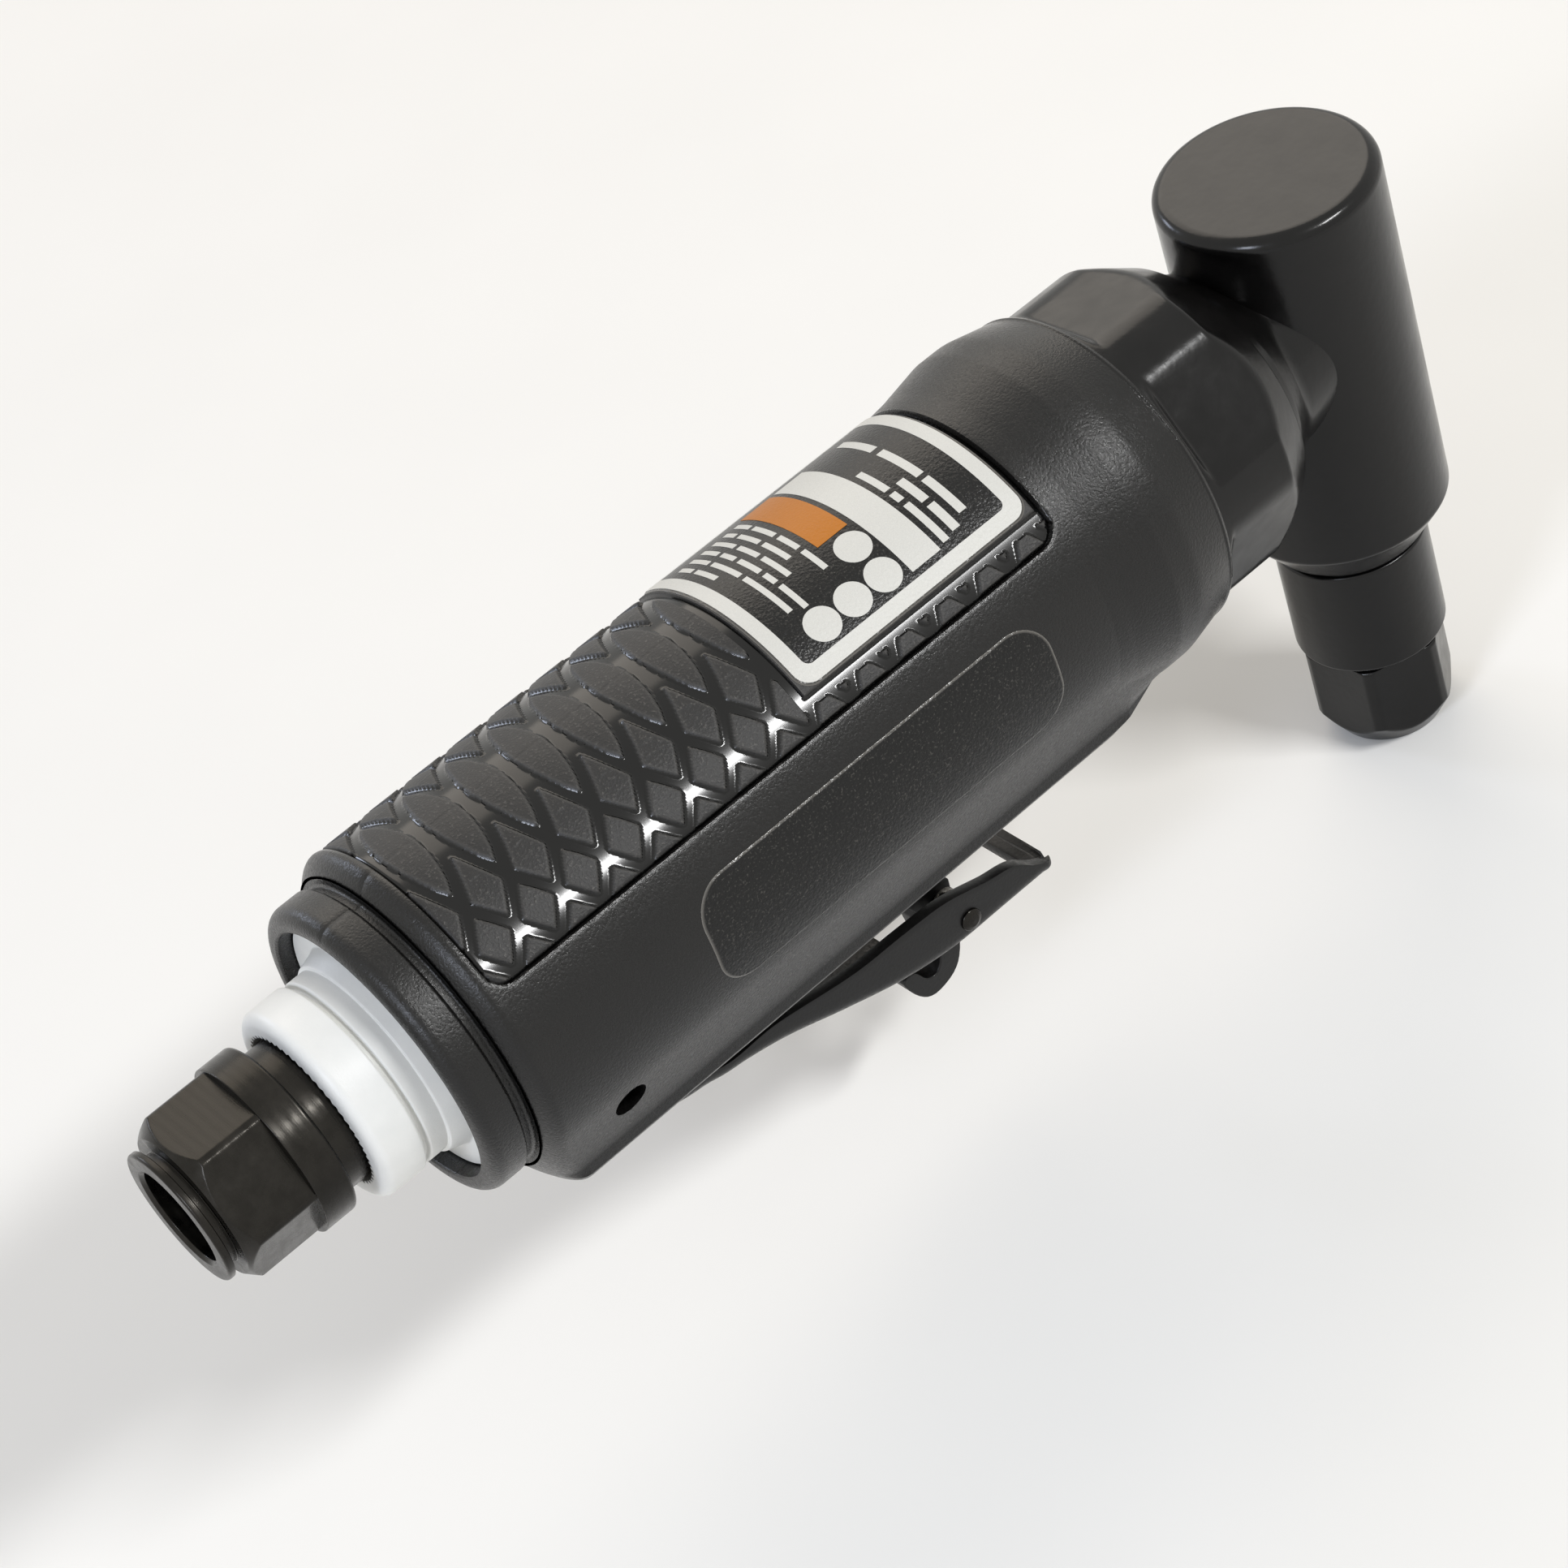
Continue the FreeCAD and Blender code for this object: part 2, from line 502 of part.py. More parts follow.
housing = new_body("handle_housing")
turn(housing, [
    (rear_face, 0),
    (rear_face, end_ring - d.end_ring_round,
     rear_face + d.end_ring_round, end_ring - d.end_ring_round, -1),
    (rear_face + d.end_ring_round, end_ring),
    (ring_front, end_ring),
    (ring_front, end_groove),
    (barrel_rear, end_groove),
    (barrel_rear, d.barrel_radius),
    (flare_foot, d.barrel_radius),
    (flare_top, d.barrel_radius + d.bell_foot_rise),
    (crest_rear, bell_crest),
    (crest_front, bell_crest),
    (joint, d.barrel_radius),
    (joint, 0),
])
lug_length = crest_rear - barrel_rear
extrude(housing, lug_length, role="YZ_Plane", lift=(crest_rear + barrel_rear) / 2, corners=[
    (-wall_top[0], wall_top[1]),
    (-wall_foot[0], wall_foot[1], -d.lug_flat_half, corner_z, 1),
    (-d.lug_flat_half, underside),
    (d.lug_flat_half, underside, d.lug_flat_half, corner_z, 1),
    wall_foot,
    wall_top,
])
# The outside is trimmed to one turned envelope, which rounds the lug at both its ends
lug_reach = lug_depth + d.lug_corner_radius
shoulder_top = barrel_rear + d.shoulder_round * 2
turn(housing, [
    (barrel_rear - d.cut_overrun, d.barrel_radius - d.shoulder_round / 2),
    (barrel_rear, d.barrel_radius - d.shoulder_round / 2),
    (barrel_rear + d.shoulder_round / 2, d.barrel_radius + d.shoulder_round / 4),
    (shoulder_top, lug_reach),
    (shoulder_top, lug_reach + d.cut_overrun),
    (barrel_rear - d.cut_overrun, lug_reach + d.cut_overrun),
], kind="Groove")
turn(housing, [
    (flare_foot - d.lug_corner_radius, lug_reach),
    (crest_rear, bell_crest),
    (crest_rear + d.cut_overrun, bell_crest),
    (crest_rear + d.cut_overrun, lug_reach + d.cut_overrun),
    (flare_foot - d.lug_corner_radius, lug_reach + d.cut_overrun),
], kind="Groove")
# Bores along the handle: deflector seat, exhaust chamber, bushing thread, motor bore
tail_end = chamber_floor + d.inlet_tail_length
turn(housing, [
    (rear_face - d.cut_overrun, 0),
    (rear_face - d.cut_overrun, end_bore),
    (flange_seat, end_bore),
    (flange_seat, chamber_radius),
    (chamber_floor, chamber_radius),
    (chamber_floor, d.inlet_tail_radius),
    (tail_end, d.inlet_tail_radius),
    (tail_end, d.inlet_bore_radius),
    (valve_x, d.inlet_bore_radius),
    (valve_x, 0),
], kind="Groove")
turn(housing, [
    (motor_floor, 0),
    (motor_floor, motor_bore),
    (joint + d.cut_overrun, motor_bore),
    (joint + d.cut_overrun, 0),
], kind="Groove")
# Grip recess, a part turn over the top
turn(housing, box_corners(grip_rear, grip_front, grip_floor, d.barrel_radius + d.cut_overrun),
     kind="Groove", angle=d.grip_spread)
# Exhaust passages from the motor bore back to the exhaust chamber
exhaust_middle = (motor_floor + chamber_floor) / 2
exhaust_length = motor_floor - chamber_floor + d.cut_overrun
exhaust_circles = []
for side in (-1, 0, 1):
    angle = math.radians(d.exhaust_hole_step.value * side)
    exhaust_circles.append((exhaust_hole_ring * math.sin(angle), exhaust_hole_ring * math.cos(angle),
                            d.exhaust_hole_radius) if side else (0, exhaust_hole_ring, d.exhaust_hole_radius))
extrude(housing, exhaust_length, "Pocket", "YZ_Plane", exhaust_middle, circles=exhaust_circles)
# Valve bore across the handle, and the passage from it to the motor
valve_middle = (d.valve_bore_top - d.valve_well_depth) / 2
extrude(housing, d.valve_bore_top + d.valve_well_depth, "Pocket", "XY_Plane", valve_middle,
        circles=[(valve_x, 0, d.valve_bore_radius)])
extrude(housing, motor_floor - valve_x, "Pocket", "YZ_Plane", (motor_floor + valve_x) / 2,
        circles=[(0, -d.air_passage_depth, d.air_passage_radius)])
# Lever slot in the lug, deeper over the pivot
slot_rear = lever_x - d.slot_rear_reach
slot_step = lever_x + d.slot_step_reach
slot_front = lever_x + d.slot_front_reach
extrude(housing, slot_half * 2, "Pocket", corners=[
    (slot_rear, underside - d.cut_overrun),
    (slot_front, underside - d.cut_overrun),
    (slot_front, underside),
    (slot_front - d.lug_corner_radius, -d.valve_well_depth),
    (slot_step, -d.valve_well_depth),
    (slot_step, -d.slot_pivot_depth),
    (slot_rear, -d.slot_pivot_depth),
])
# Lever pin: a drive fit in the lug, with a wider hole outside each end
extrude(housing, d.barrel_radius * 2, "Pocket", circles=[(lever_x, lever_z, d.lever_pin_radius)])
for side in (-1, 1):
    recess_middle = (d.lever_pin_half + d.barrel_radius) / 2 * side
    extrude(housing, d.barrel_radius - d.lever_pin_half, "Pocket", lift=recess_middle,
            circles=[(lever_x, lever_z, d.lever_pin_recess_radius)])

# Inlet bushing: turned steel with six milled flats, screwed into the housing

tube_end = chamber_floor - d.inlet_tube_length
collar_end = tube_end - d.inlet_collar_width
hex_end = collar_end - d.inlet_hex_length
groove_end = hex_end - d.inlet_groove_width
inlet_face = groove_end - d.inlet_ring_width
thread_end = inlet_face + d.inlet_thread_length
relief_end = thread_end + d.inlet_relief_width

bushing = new_body("inlet_bushing")
turn(bushing, [
    (inlet_face, d.inlet_thread_radius + d.inlet_edge),
    (inlet_face, d.inlet_face_radius - d.inlet_edge),
    (inlet_face + d.inlet_edge, d.inlet_face_radius),
    (groove_end, d.inlet_face_radius),
    (groove_end, d.inlet_groove_radius),
    (hex_end, d.inlet_groove_radius),
    (hex_end, d.inlet_hex_round - d.inlet_hex_chamfer),
    (hex_end + d.inlet_hex_chamfer, d.inlet_hex_round),
    (collar_end, d.inlet_hex_round),
    (collar_end, d.inlet_collar_radius - d.inlet_edge),
    (collar_end + d.inlet_edge, d.inlet_collar_radius),
    (tube_end - d.inlet_edge, d.inlet_collar_radius),
    (tube_end, d.inlet_collar_radius - d.inlet_edge),
    (tube_end, d.inlet_tube_radius),
    (chamber_floor, d.inlet_tube_radius),
    (chamber_floor, d.inlet_tail_radius),
    (tail_end, d.inlet_tail_radius),
    (tail_end, d.inlet_bore_radius),
    (relief_end, d.inlet_bore_radius),
    (relief_end, d.inlet_relief_radius),
    (thread_end, d.inlet_relief_radius),
    (thread_end, d.inlet_thread_radius),
    (inlet_face + d.inlet_edge, d.inlet_thread_radius),
])
flat = extrude(bushing, d.inlet_hex_length - d.inlet_edge * 2, "Pocket", "YZ_Plane", (hex_end + collar_end) / 2
               - d.inlet_edge, corners=box_corners(-d.inlet_hex_round, d.inlet_hex_round, d.inlet_hex_width / 2,
                                                   d.inlet_hex_width / 2 + d.cut_overrun))
pattern(bushing, flat, 6)

screen = new_body("inlet_screen")
turn(screen, box_corners(relief_end - d.screen_thickness, relief_end, 0, d.inlet_relief_radius - d.seat_gap))
hole = extrude(screen, d.screen_thickness * 2, "Pocket", "YZ_Plane", relief_end - d.screen_thickness / 2,
               circles=[(0, d.screen_hole_ring, d.screen_hole_radius)])
pattern(screen, hole, 6)

# Exhaust deflector: white moulding that sits on its flange in the rear bore

flange_face = flange_seat - d.deflector_flange_width
barrel_end = flange_face - d.deflector_barrel_length
rib_end = barrel_end - d.deflector_rib_width
notch_end = rib_end - d.deflector_groove_width
deflector_face = notch_end - d.deflector_ring_width

deflector = new_body("exhaust_deflector")
turn(deflector, [
    (flange_seat, d.deflector_bore_radius),
    (flange_seat, d.deflector_flange_radius),
    (flange_face, d.deflector_flange_radius),
    (flange_face, d.deflector_root_radius),
    (barrel_end, d.deflector_barrel_radius),
    (barrel_end, d.deflector_rib_radius),
    (rib_end, d.deflector_rib_radius),
    (rib_end, d.deflector_groove_radius),
    (notch_end, d.deflector_groove_radius),
    (notch_end, d.deflector_ring_radius),
    (deflector_face + d.deflector_ring_round, d.deflector_ring_radius,
     deflector_face + d.deflector_ring_round, d.deflector_ring_radius - d.deflector_ring_round, 1),
    (deflector_face, d.deflector_ring_radius - d.deflector_ring_round),
    (deflector_face, d.deflector_lip_radius),
    (deflector_face + d.deflector_lip_width, d.deflector_lip_radius),
    (deflector_face + d.deflector_lip_width, d.deflector_bore_radius),
])
ring("exhaust_silencer", deflector_face + d.deflector_lip_width, flange_seat,
     d.inlet_tube_radius, d.deflector_bore_radius)

# Grip and labels

grip = new_body("grip_sleeve")
grip_angle = d.grip_spread
turn(grip, box_corners(grip_rear, grip_front, grip_floor, grip_floor + d.grip_base_thickness),
     angle=grip_angle)
label_front = joint - d.label_front_gap
label_rear = label_front - d.label_length
turn(grip, box_corners(label_rear, label_front, grip_floor, d.barrel_radius), angle=d.label_spread)

label = new_body("rating_label")
turn(label, box_corners(label_rear, label_front, d.barrel_radius, d.barrel_radius + d.film_thickness),
     angle=d.label_spread)

plate_front = joint - d.plate_front_gap
plate_rear = plate_front - d.plate_length
plate = new_body("side_plate")
turn(plate, box_corners(plate_rear, plate_front, -d.barrel_radius - d.film_thickness, -d.barrel_radius),
     angle=d.plate_spread, role="XY_Plane")

# Throttle lever: a pressed channel, its pad below and its side walls up to the pin. Its
# outlines are shares of the reach to the pad's tip and of the drop to the pad's underside.

lever_outer_shares = [
    (-0.0627, -0.2912), (-0.0627, -0.4253), (-0.0408, -0.4981), (0.0705, -0.5134), (0.1176, -0.6015),
    (0.3652, -0.7318), (0.5016, -0.8467), (0.6207, -0.9387), (0.7680, -0.9962), (0.9812, -1.0000),
    (1.0000, -0.9693), (0.9357, -0.8544), (0.8777, -0.7625), (0.7759, -0.7011), (0.6583, -0.6973),
    (0.5486, -0.6782), (0.3683, -0.6015), (0.2116, -0.5785), (0.1332, -0.4061), (0.0690, -0.2337),
    (0.0500, 0), (-0.0500, 0),
]
lever_inner_shares = [
    (-0.1000, 0.3027), (-0.1000, -0.2912), (-0.0392, -0.2912), (-0.0392, -0.4253), (0.0799, -0.4559),
    (0.1270, -0.5441), (0.3715, -0.6724), (0.5086, -0.7893), (0.6270, -0.8793), (0.7696, -0.9387),
    (1.0345, -0.9387), (1.0345, 0.3027),
]


def lever_outline(shares):
    """Outline corners from shares of the lever's reach and drop."""
    return [(d.lever_reach * u if u else 0, lever_drop * v if v else 0) for u, v in shares]


lock_u = lock_x - lever_x
lock_v = lock_z - lever_z
lever = new_body("throttle_lever", lever_x, lever_z)
extrude(lever, d.lever_width, corners=lever_outline(lever_outer_shares))
extrude(lever, d.lever_width, circles=[(0, 0, d.lever_ear_radius)])
extrude(lever, d.lever_channel_width, "Pocket", corners=lever_outline(lever_inner_shares))
window_rear = d.lever_reach - d.lever_slot_reach
extrude(lever, d.lever_slot_width, "Pocket", corners=box_corners(
    window_rear, window_rear + d.lever_slot_length, -lever_drop - d.cut_overrun, -lever_drop / 2))
extrude(lever, d.lever_width * 2, "Pocket", circles=[
    (0, 0, d.lever_pin_radius + d.running_gap), (lock_u, lock_v, d.lock_pin_radius)])

lever_pin = new_body("lever_pin", lever_x, lever_z)
extrude(lever_pin, d.lever_pin_half * 2, circles=[(0, 0, d.lever_pin_radius)])

# Lock lever on its pin and spring. Its hook is drawn as shares of its drop.

lock_hook_shares = [
    (-0.2167, -0.2083), (-0.1833, -0.5833), (-0.2667, -0.7667), (-0.4000, -0.7500), (-0.5167, -0.5750),
    (-0.6667, -0.6000), (-0.5417, -0.8833), (-0.3667, -1.0000), (-0.1000, -0.9333), (0.0500, -0.7333),
    (0.1500, -0.3333),
]
lean = d.lock_arm_lean.value
arm_tip = turned(as_size(0), d.lock_arm_length, lean)
tip_side = turned(d.lock_arm_radius, as_size(0), lean)
hub_side = turned(d.lock_hub_radius, as_size(0), lean)

lock = new_body("lock_lever", lock_x, lock_z)
extrude(lock, d.lock_thickness, corners=[
    (arm_tip[0] + tip_side[0], arm_tip[1] + tip_side[1], arm_tip[0], arm_tip[1], 1),
    (arm_tip[0] - tip_side[0], arm_tip[1] - tip_side[1]),
    (-hub_side[0], -hub_side[1]),
] + [(d.lock_drop * u, d.lock_drop * v) for u, v in lock_hook_shares] + [hub_side])
extrude(lock, d.lock_thickness * 2, "Pocket", circles=[(0, 0, d.lock_pin_radius + d.running_gap)])

lock_pin = new_body("lock_pin", lock_x, lock_z)
extrude(lock_pin, d.lever_width, circles=[(0, 0, d.lock_pin_radius)])

lock_spring = new_body("lock_spring", lock_x, lock_z)
coil(lock_spring, d.lock_spring_radius, d.lock_spring_wire, d.lock_spring_width - d.lock_spring_wire * 4,
     3, "N_Axis", "XZ_Plane", d.lock_thickness / 2 + d.lever_side_gap + d.lock_spring_wire)

# Throttle valve: bushing in the cross bore, stem with its poppet and washer, and spring

valve_seat = -d.valve_seat_depth
valve_floor = -d.valve_well_depth
valve_guide = -d.valve_guide_depth
bush_radius = d.valve_bore_radius - d.seat_gap
guide_radius = d.valve_stem_radius + d.running_gap
ring_middle = (valve_guide + valve_floor) / 2
ring_low = ring_middle - d.oring_section / 2
ring_high = ring_middle + d.oring_section / 2
ring_radius = guide_radius + d.oring_section

bush = new_body("valve_bushing", valve_x)
turn(bush, [
    (guide_radius, valve_floor),
    (bush_radius, valve_floor),
    (bush_radius, valve_seat),
    (d.valve_port_radius, valve_seat),
    (d.valve_port_radius, valve_guide),
    (guide_radius, valve_guide),
    (guide_radius, ring_high),
    (ring_radius, ring_high),
    (ring_radius, ring_low),
    (guide_radius, ring_low),
], "V_Axis")
extrude(bush, d.valve_bore_radius, "Pocket", "YZ_Plane", d.valve_bore_radius / 2 + d.valve_stem_radius,
        circles=[(0, -d.air_passage_depth, d.air_passage_radius - d.seat_gap)])
ring("stem_seal", ring_low, ring_high, guide_radius, ring_radius, "V_Axis", valve_x)

seal_low = valve_seat + d.running_gap
seal_high = seal_low + d.valve_seal_thickness
# The stem ends just above the lever's web, which slopes between two corners of its inner outline
(rise_u, rise_v), (fall_u, fall_v) = lever_inner_shares[5:7]
web_slope = (fall_v - rise_v) * lever_drop.value / ((fall_u - rise_u) * d.lever_reach.value)
web_here = lever_drop * rise_v + (d.valve_reach - d.lever_reach * rise_u) * web_slope
stem_end = lever_z + web_here + d.valve_stem_gap
stem = new_body("valve_stem", valve_x)
turn(stem, [
    (0, stem_end, 0, stem_end + d.valve_stem_radius, 1),
    (d.valve_stem_radius, stem_end + d.valve_stem_radius),
    (d.valve_stem_radius, seal_high),
    (d.valve_head_radius, seal_high),
    (d.valve_head_radius, seal_high + d.valve_head_thickness),
    (0, seal_high + d.valve_head_thickness),
], "V_Axis")
ring("valve_washer", seal_low, seal_high, d.valve_stem_radius, d.valve_head_radius, "V_Axis", valve_x)

spring_low = seal_high + d.valve_head_thickness + d.valve_spring_wire
valve_spring = new_body("valve_spring", valve_x, spring_low)
coil(valve_spring, d.valve_spring_radius, d.valve_spring_wire,
     d.valve_bore_top - spring_low - d.valve_spring_wire, 5, "V_Axis", "XZ_Plane")

# Motor: steel sleeve, end plates, cylinder, rotor with its blades, and spacer

sleeve_front = joint + d.sleeve_nose_length
rear_plate_front = motor_floor + d.end_plate_width
cylinder_front = rear_plate_front + d.cylinder_length
front_plate_front = cylinder_front + d.end_plate_width
spigot_rear = sleeve_front - d.spigot_length
shaft_room = d.rotor_shaft_radius + d.bearing_inset * 2
ring("motor_sleeve", motor_floor, sleeve_front, sleeve_inside, motor_bore)

rear_plate = new_body("rear_end_plate")
turn(rear_plate, [
    (motor_floor, d.motor_bearing_radius),
    (motor_floor, motor_fit),
    (rear_plate_front, motor_fit),
    (rear_plate_front, shaft_room),
    (motor_floor + d.motor_bearing_width, shaft_room),
    (motor_floor + d.motor_bearing_width, d.motor_bearing_radius),
])
plate_middle = (motor_floor + rear_plate_front) / 2
extrude(rear_plate, d.end_plate_width * 2, "Pocket", "YZ_Plane", plate_middle, circles=exhaust_circles + [
    (0, -d.air_passage_depth, d.air_passage_radius)])

front_plate = new_body("front_end_plate")
turn(front_plate, [
    (cylinder_front, shaft_room),
    (cylinder_front, motor_fit),
    (front_plate_front, motor_fit),
    (front_plate_front, d.motor_bearing_radius),
    (front_plate_front - d.motor_bearing_width, d.motor_bearing_radius),
    (front_plate_front - d.motor_bearing_width, shaft_room),
])

cylinder = new_body("motor_cylinder")
turn(cylinder, box_corners(rear_plate_front, cylinder_front, 0, motor_fit))
cylinder_middle = (rear_plate_front + cylinder_front) / 2
extrude(cylinder, d.cylinder_length * 2, "Pocket", "YZ_Plane", cylinder_middle,
        circles=[(0, -d.cylinder_offset, cylinder_bore)])
extrude(cylinder, d.cylinder_length, "Pocket", "YZ_Plane", rear_plate_front, circles=exhaust_circles)
extrude(cylinder, d.exhaust_port_width, "Pocket", corners=box_corners(
    cylinder_middle - d.exhaust_port_length, cylinder_middle, rotor_radius - d.cylinder_offset,
    exhaust_hole_ring))
ring("motor_spacer", front_plate_front, spigot_rear, motor_fit - d.spacer_wall, motor_fit)

bearing("rear_motor_bearing", motor_floor, motor_floor + d.motor_bearing_width,
        d.rotor_shaft_radius, d.motor_bearing_radius)
bearing("front_motor_bearing", front_plate_front - d.motor_bearing_width, front_plate_front,
        d.rotor_shaft_radius, d.motor_bearing_radius)

rotor_rear = rear_plate_front + d.rotor_end_gap
rotor_front = cylinder_front - d.rotor_end_gap
shaft_rear = motor_floor + d.bearing_inset * 2
shaft_front = cylinder_front + d.rotor_front_length
slot_floor_share = 0.45
slot_floor = rotor_radius * slot_floor_share
rotor = new_body("rotor")
turn(rotor, [
    (shaft_rear, 0),
    (shaft_rear, d.rotor_shaft_radius),
    (rotor_rear, d.rotor_shaft_radius),
    (rotor_rear, rotor_radius),
    (rotor_front, rotor_radius),
    (rotor_front, d.rotor_shaft_radius),
    (shaft_front, d.rotor_shaft_radius),
    (shaft_front, d.rotor_socket_radius),
    (shaft_front - d.rotor_socket_depth, d.rotor_socket_radius),
    (shaft_front - d.rotor_socket_depth, 0),
])
slot = extrude(rotor, d.cylinder_length, "Pocket", "YZ_Plane", cylinder_middle, corners=box_corners(
    -d.blade_slot_width / 2, d.blade_slot_width / 2, slot_floor, rotor_radius + d.cut_overrun))
blade_count = round(d.blade_count.value)
pattern(rotor, slot, blade_count)
blade_half = d.blade_slot_width / 2 - d.blade_gap
for number in range(blade_count):
    blade = new_body(f"rotor_blade_{number + 1}")
    blade_box = box_corners(-blade_half, blade_half, slot_floor + d.blade_gap, rotor_radius - d.running_gap)
    extrude(blade, d.cylinder_length - d.rotor_end_gap * 2, "Pad", "YZ_Plane", cylinder_middle,
            corners=[turned(u, v, 360 / blade_count * number) for u, v in blade_box])

# Bevel gears: each tooth is a loft that shrinks towards the crossing of the axes.
# Tooth flank, as shares of the pitch radius: height above the pitch cone, and half width.

tooth_shares = [(-0.156, 0.120), (-0.085, 0.1275), (0, 0.1159), (0.119, 0.0685)]
gear_teeth = round(d.gear_teeth.value)
cone_length = math.sqrt(2)
inner_share = 1 - d.gear_face_width.value / (d.gear_pitch_radius.value * cone_length)
outer_share = 1 + d.gear_backlash.value / d.gear_addendum.value
root_slope = math.tan(math.radians(45) + math.atan(tooth_shares[0][0] / cone_length))


def tooth_corners(share, degrees):
    """Section of a tooth at one share of the cone, standing at an angle round the axis."""
    right = []
    for height, half in tooth_shares:
        slope = math.radians(45) + math.atan(height / cone_length)
        reach = math.tan(slope)
        width = half / (cone_length * math.cos(slope))
        right.append((d.gear_pitch_radius * (width * share), d.gear_pitch_radius * (reach * share)))
    sunk = (right[0][0], right[0][1] - d.gear_backlash)
    side = [sunk] + right
    points = side + [(-u, v) for u, v in reversed(side)]
    return [turned(u, v, degrees) for u, v in points]


def bevel_gear(body, axis, role, hub_radius, back, bore, degrees):
    """Blank, teeth and trimmed back cone; the gear lies on the low side of the crossing."""
    pitch = d.gear_pitch_radius
    root = d.gear_dedendum / cone_length
    front = -pitch * inner_share
    blank = [
        (front, bore),
        (front, pitch * (inner_share * root_slope)),
        (-pitch - root, pitch - root),
        (-pitch - root * 2, hub_radius),
        (-back, hub_radius),
        (-back, bore),
    ]
    reach = (pitch + d.gear_addendum * 2) * outer_share
    beyond = reach - (pitch - root)
    trim = [
        (-pitch - root, pitch - root),
        (-pitch - root + beyond, reach),
        (-reach - beyond, reach),
        (-reach - beyond, pitch - root),
    ]
    if axis == "V_Axis":
        blank = [(v, u) for u, v in blank]
        trim = [(v, u) for u, v in trim]
    turn(body, blank, axis)
    sections = []
    for share in (outer_share, inner_share):
        section = new_sketch(body, role, -pitch * share)
        draw_outline(section, tooth_corners(share, degrees))
        sections.append(section)
    tooth = body.newObject("PartDesign::AdditiveLoft", "Tooth")
    tooth.Profile = sections[0]
    tooth.Sections = [sections[1]]
    tooth.Ruled = True
    pattern(body, tooth, gear_teeth, "X_Axis" if axis == "H_Axis" else "Z_Axis")
    turn(body, trim, axis, "Groove")


# Pinion and its bearings in the neck of the angle head

bearing_floor = -d.pinion_bore_floor
bearing_rear = bearing_floor - d.pinion_bearing_width * 2
retainer_rear = bearing_rear - d.pinion_retainer_width
tail_radius = d.rotor_socket_radius - d.seat_gap
pinion = new_body("bevel_pinion")
bevel_gear(pinion, "H_Axis", "YZ_Plane", d.pinion_hub_radius, d.pinion_bore_floor + d.bearing_inset,
           as_size(0), 0)
turn(pinion, [
    (bearing_floor, 0),
    (bearing_floor, d.pinion_shaft_radius),
    (retainer_rear, d.pinion_shaft_radius),
    (retainer_rear, tail_radius),
    (shaft_front - d.rotor_socket_depth + d.bearing_inset, tail_radius),
    (shaft_front - d.rotor_socket_depth + d.bearing_inset, 0),
])
bearing("front_pinion_bearing", bearing_floor - d.pinion_bearing_width, bearing_floor,
        d.pinion_shaft_radius, d.pinion_bore_radius)
bearing("rear_pinion_bearing", bearing_rear, bearing_floor - d.pinion_bearing_width,
        d.pinion_shaft_radius, d.pinion_bore_radius)
ring("bearing_retainer", retainer_rear, bearing_rear,
     (d.pinion_shaft_radius + d.pinion_bore_radius) / 2, d.pinion_bore_radius)

# Angle head: a cylinder with a coned neck, clamped to the motor sleeve by the clamp nut

flange_front = sleeve_front + d.flange_width
nose_front = joint + d.clamp_body_length + d.clamp_nose_length
head_top = d.head_rise
head_low = -d.head_drop - d.head_chamfer_height
upper_floor = d.head_pocket_top - d.upper_bearing_width

head = new_body("angle_head")
turn(head, [
    (0, head_top),
    (0, head_low),
    (d.head_mouth_radius, head_low),
    (d.head_radius, -d.head_drop),
    (d.head_radius, head_top - d.head_top_round,
     d.head_radius - d.head_top_round, head_top - d.head_top_round, 1),
    (d.head_radius - d.head_top_round, head_top),
], "V_Axis")
turn(head, [
    (spigot_rear, 0),
    (spigot_rear, motor_fit),
    (sleeve_front, motor_fit),
    (sleeve_front, flange_radius),
    (flange_front, flange_radius),
    (flange_front, neck_root),
    (nose_front, neck_root),
    (nose_front + d.head_top_round, neck_root - d.head_top_round / 2),
    (-d.neck_waist_reach, d.neck_waist_radius),
    (-d.neck_tip_reach, d.neck_tip_radius),
    (-d.neck_tip_reach, 0),
])
turn(head, [
    (0, head_low - d.cut_overrun),
    (d.head_bore_radius, head_low - d.cut_overrun),
    (d.head_bore_radius, d.head_bore_top),
    (d.upper_bearing_radius, d.head_bore_top),
    (d.upper_bearing_radius, d.head_pocket_top),
    (0, d.head_pocket_top),
], "V_Axis", "Groove")
turn(head, [
    (spigot_rear - d.cut_overrun, 0),
    (spigot_rear - d.cut_overrun, d.pinion_bore_radius),
    (bearing_floor, d.pinion_bore_radius),
    (bearing_floor, d.head_bore_radius),
    (-d.neck_tip_reach, d.head_bore_radius),
    (-d.neck_tip_reach, 0),
], kind="Groove")

# Clamp nut with its six wrench flats, screwed onto the nose of the motor sleeve

clamp = new_body("clamp_nut")
turn(clamp, [
    (joint, clamp_inside),
    (joint, clamp_radius - d.clamp_edge),
    (joint + d.clamp_edge, clamp_radius),
    (joint + d.clamp_body_length, clamp_radius),
    (nose_front, clamp_hole + d.clamp_nose_width),
    (nose_front, clamp_hole),
    (flange_front, clamp_hole),
    (flange_front, clamp_inside),
])
flat_length = d.clamp_body_length + d.clamp_nose_length - d.clamp_flat_margin
clamp_flat = extrude(clamp, flat_length, "Pocket", "YZ_Plane", nose_front - flat_length / 2,
                     corners=[turned(u, v, -d.clamp_flat_turn.value) for u, v in box_corners(
                         -clamp_radius / 2, clamp_radius / 2, clamp_half, clamp_radius
                         + d.cut_overrun)])
pattern(clamp, clamp_flat, 6)

# Spindle with its gear, bearings, collet and collet nut

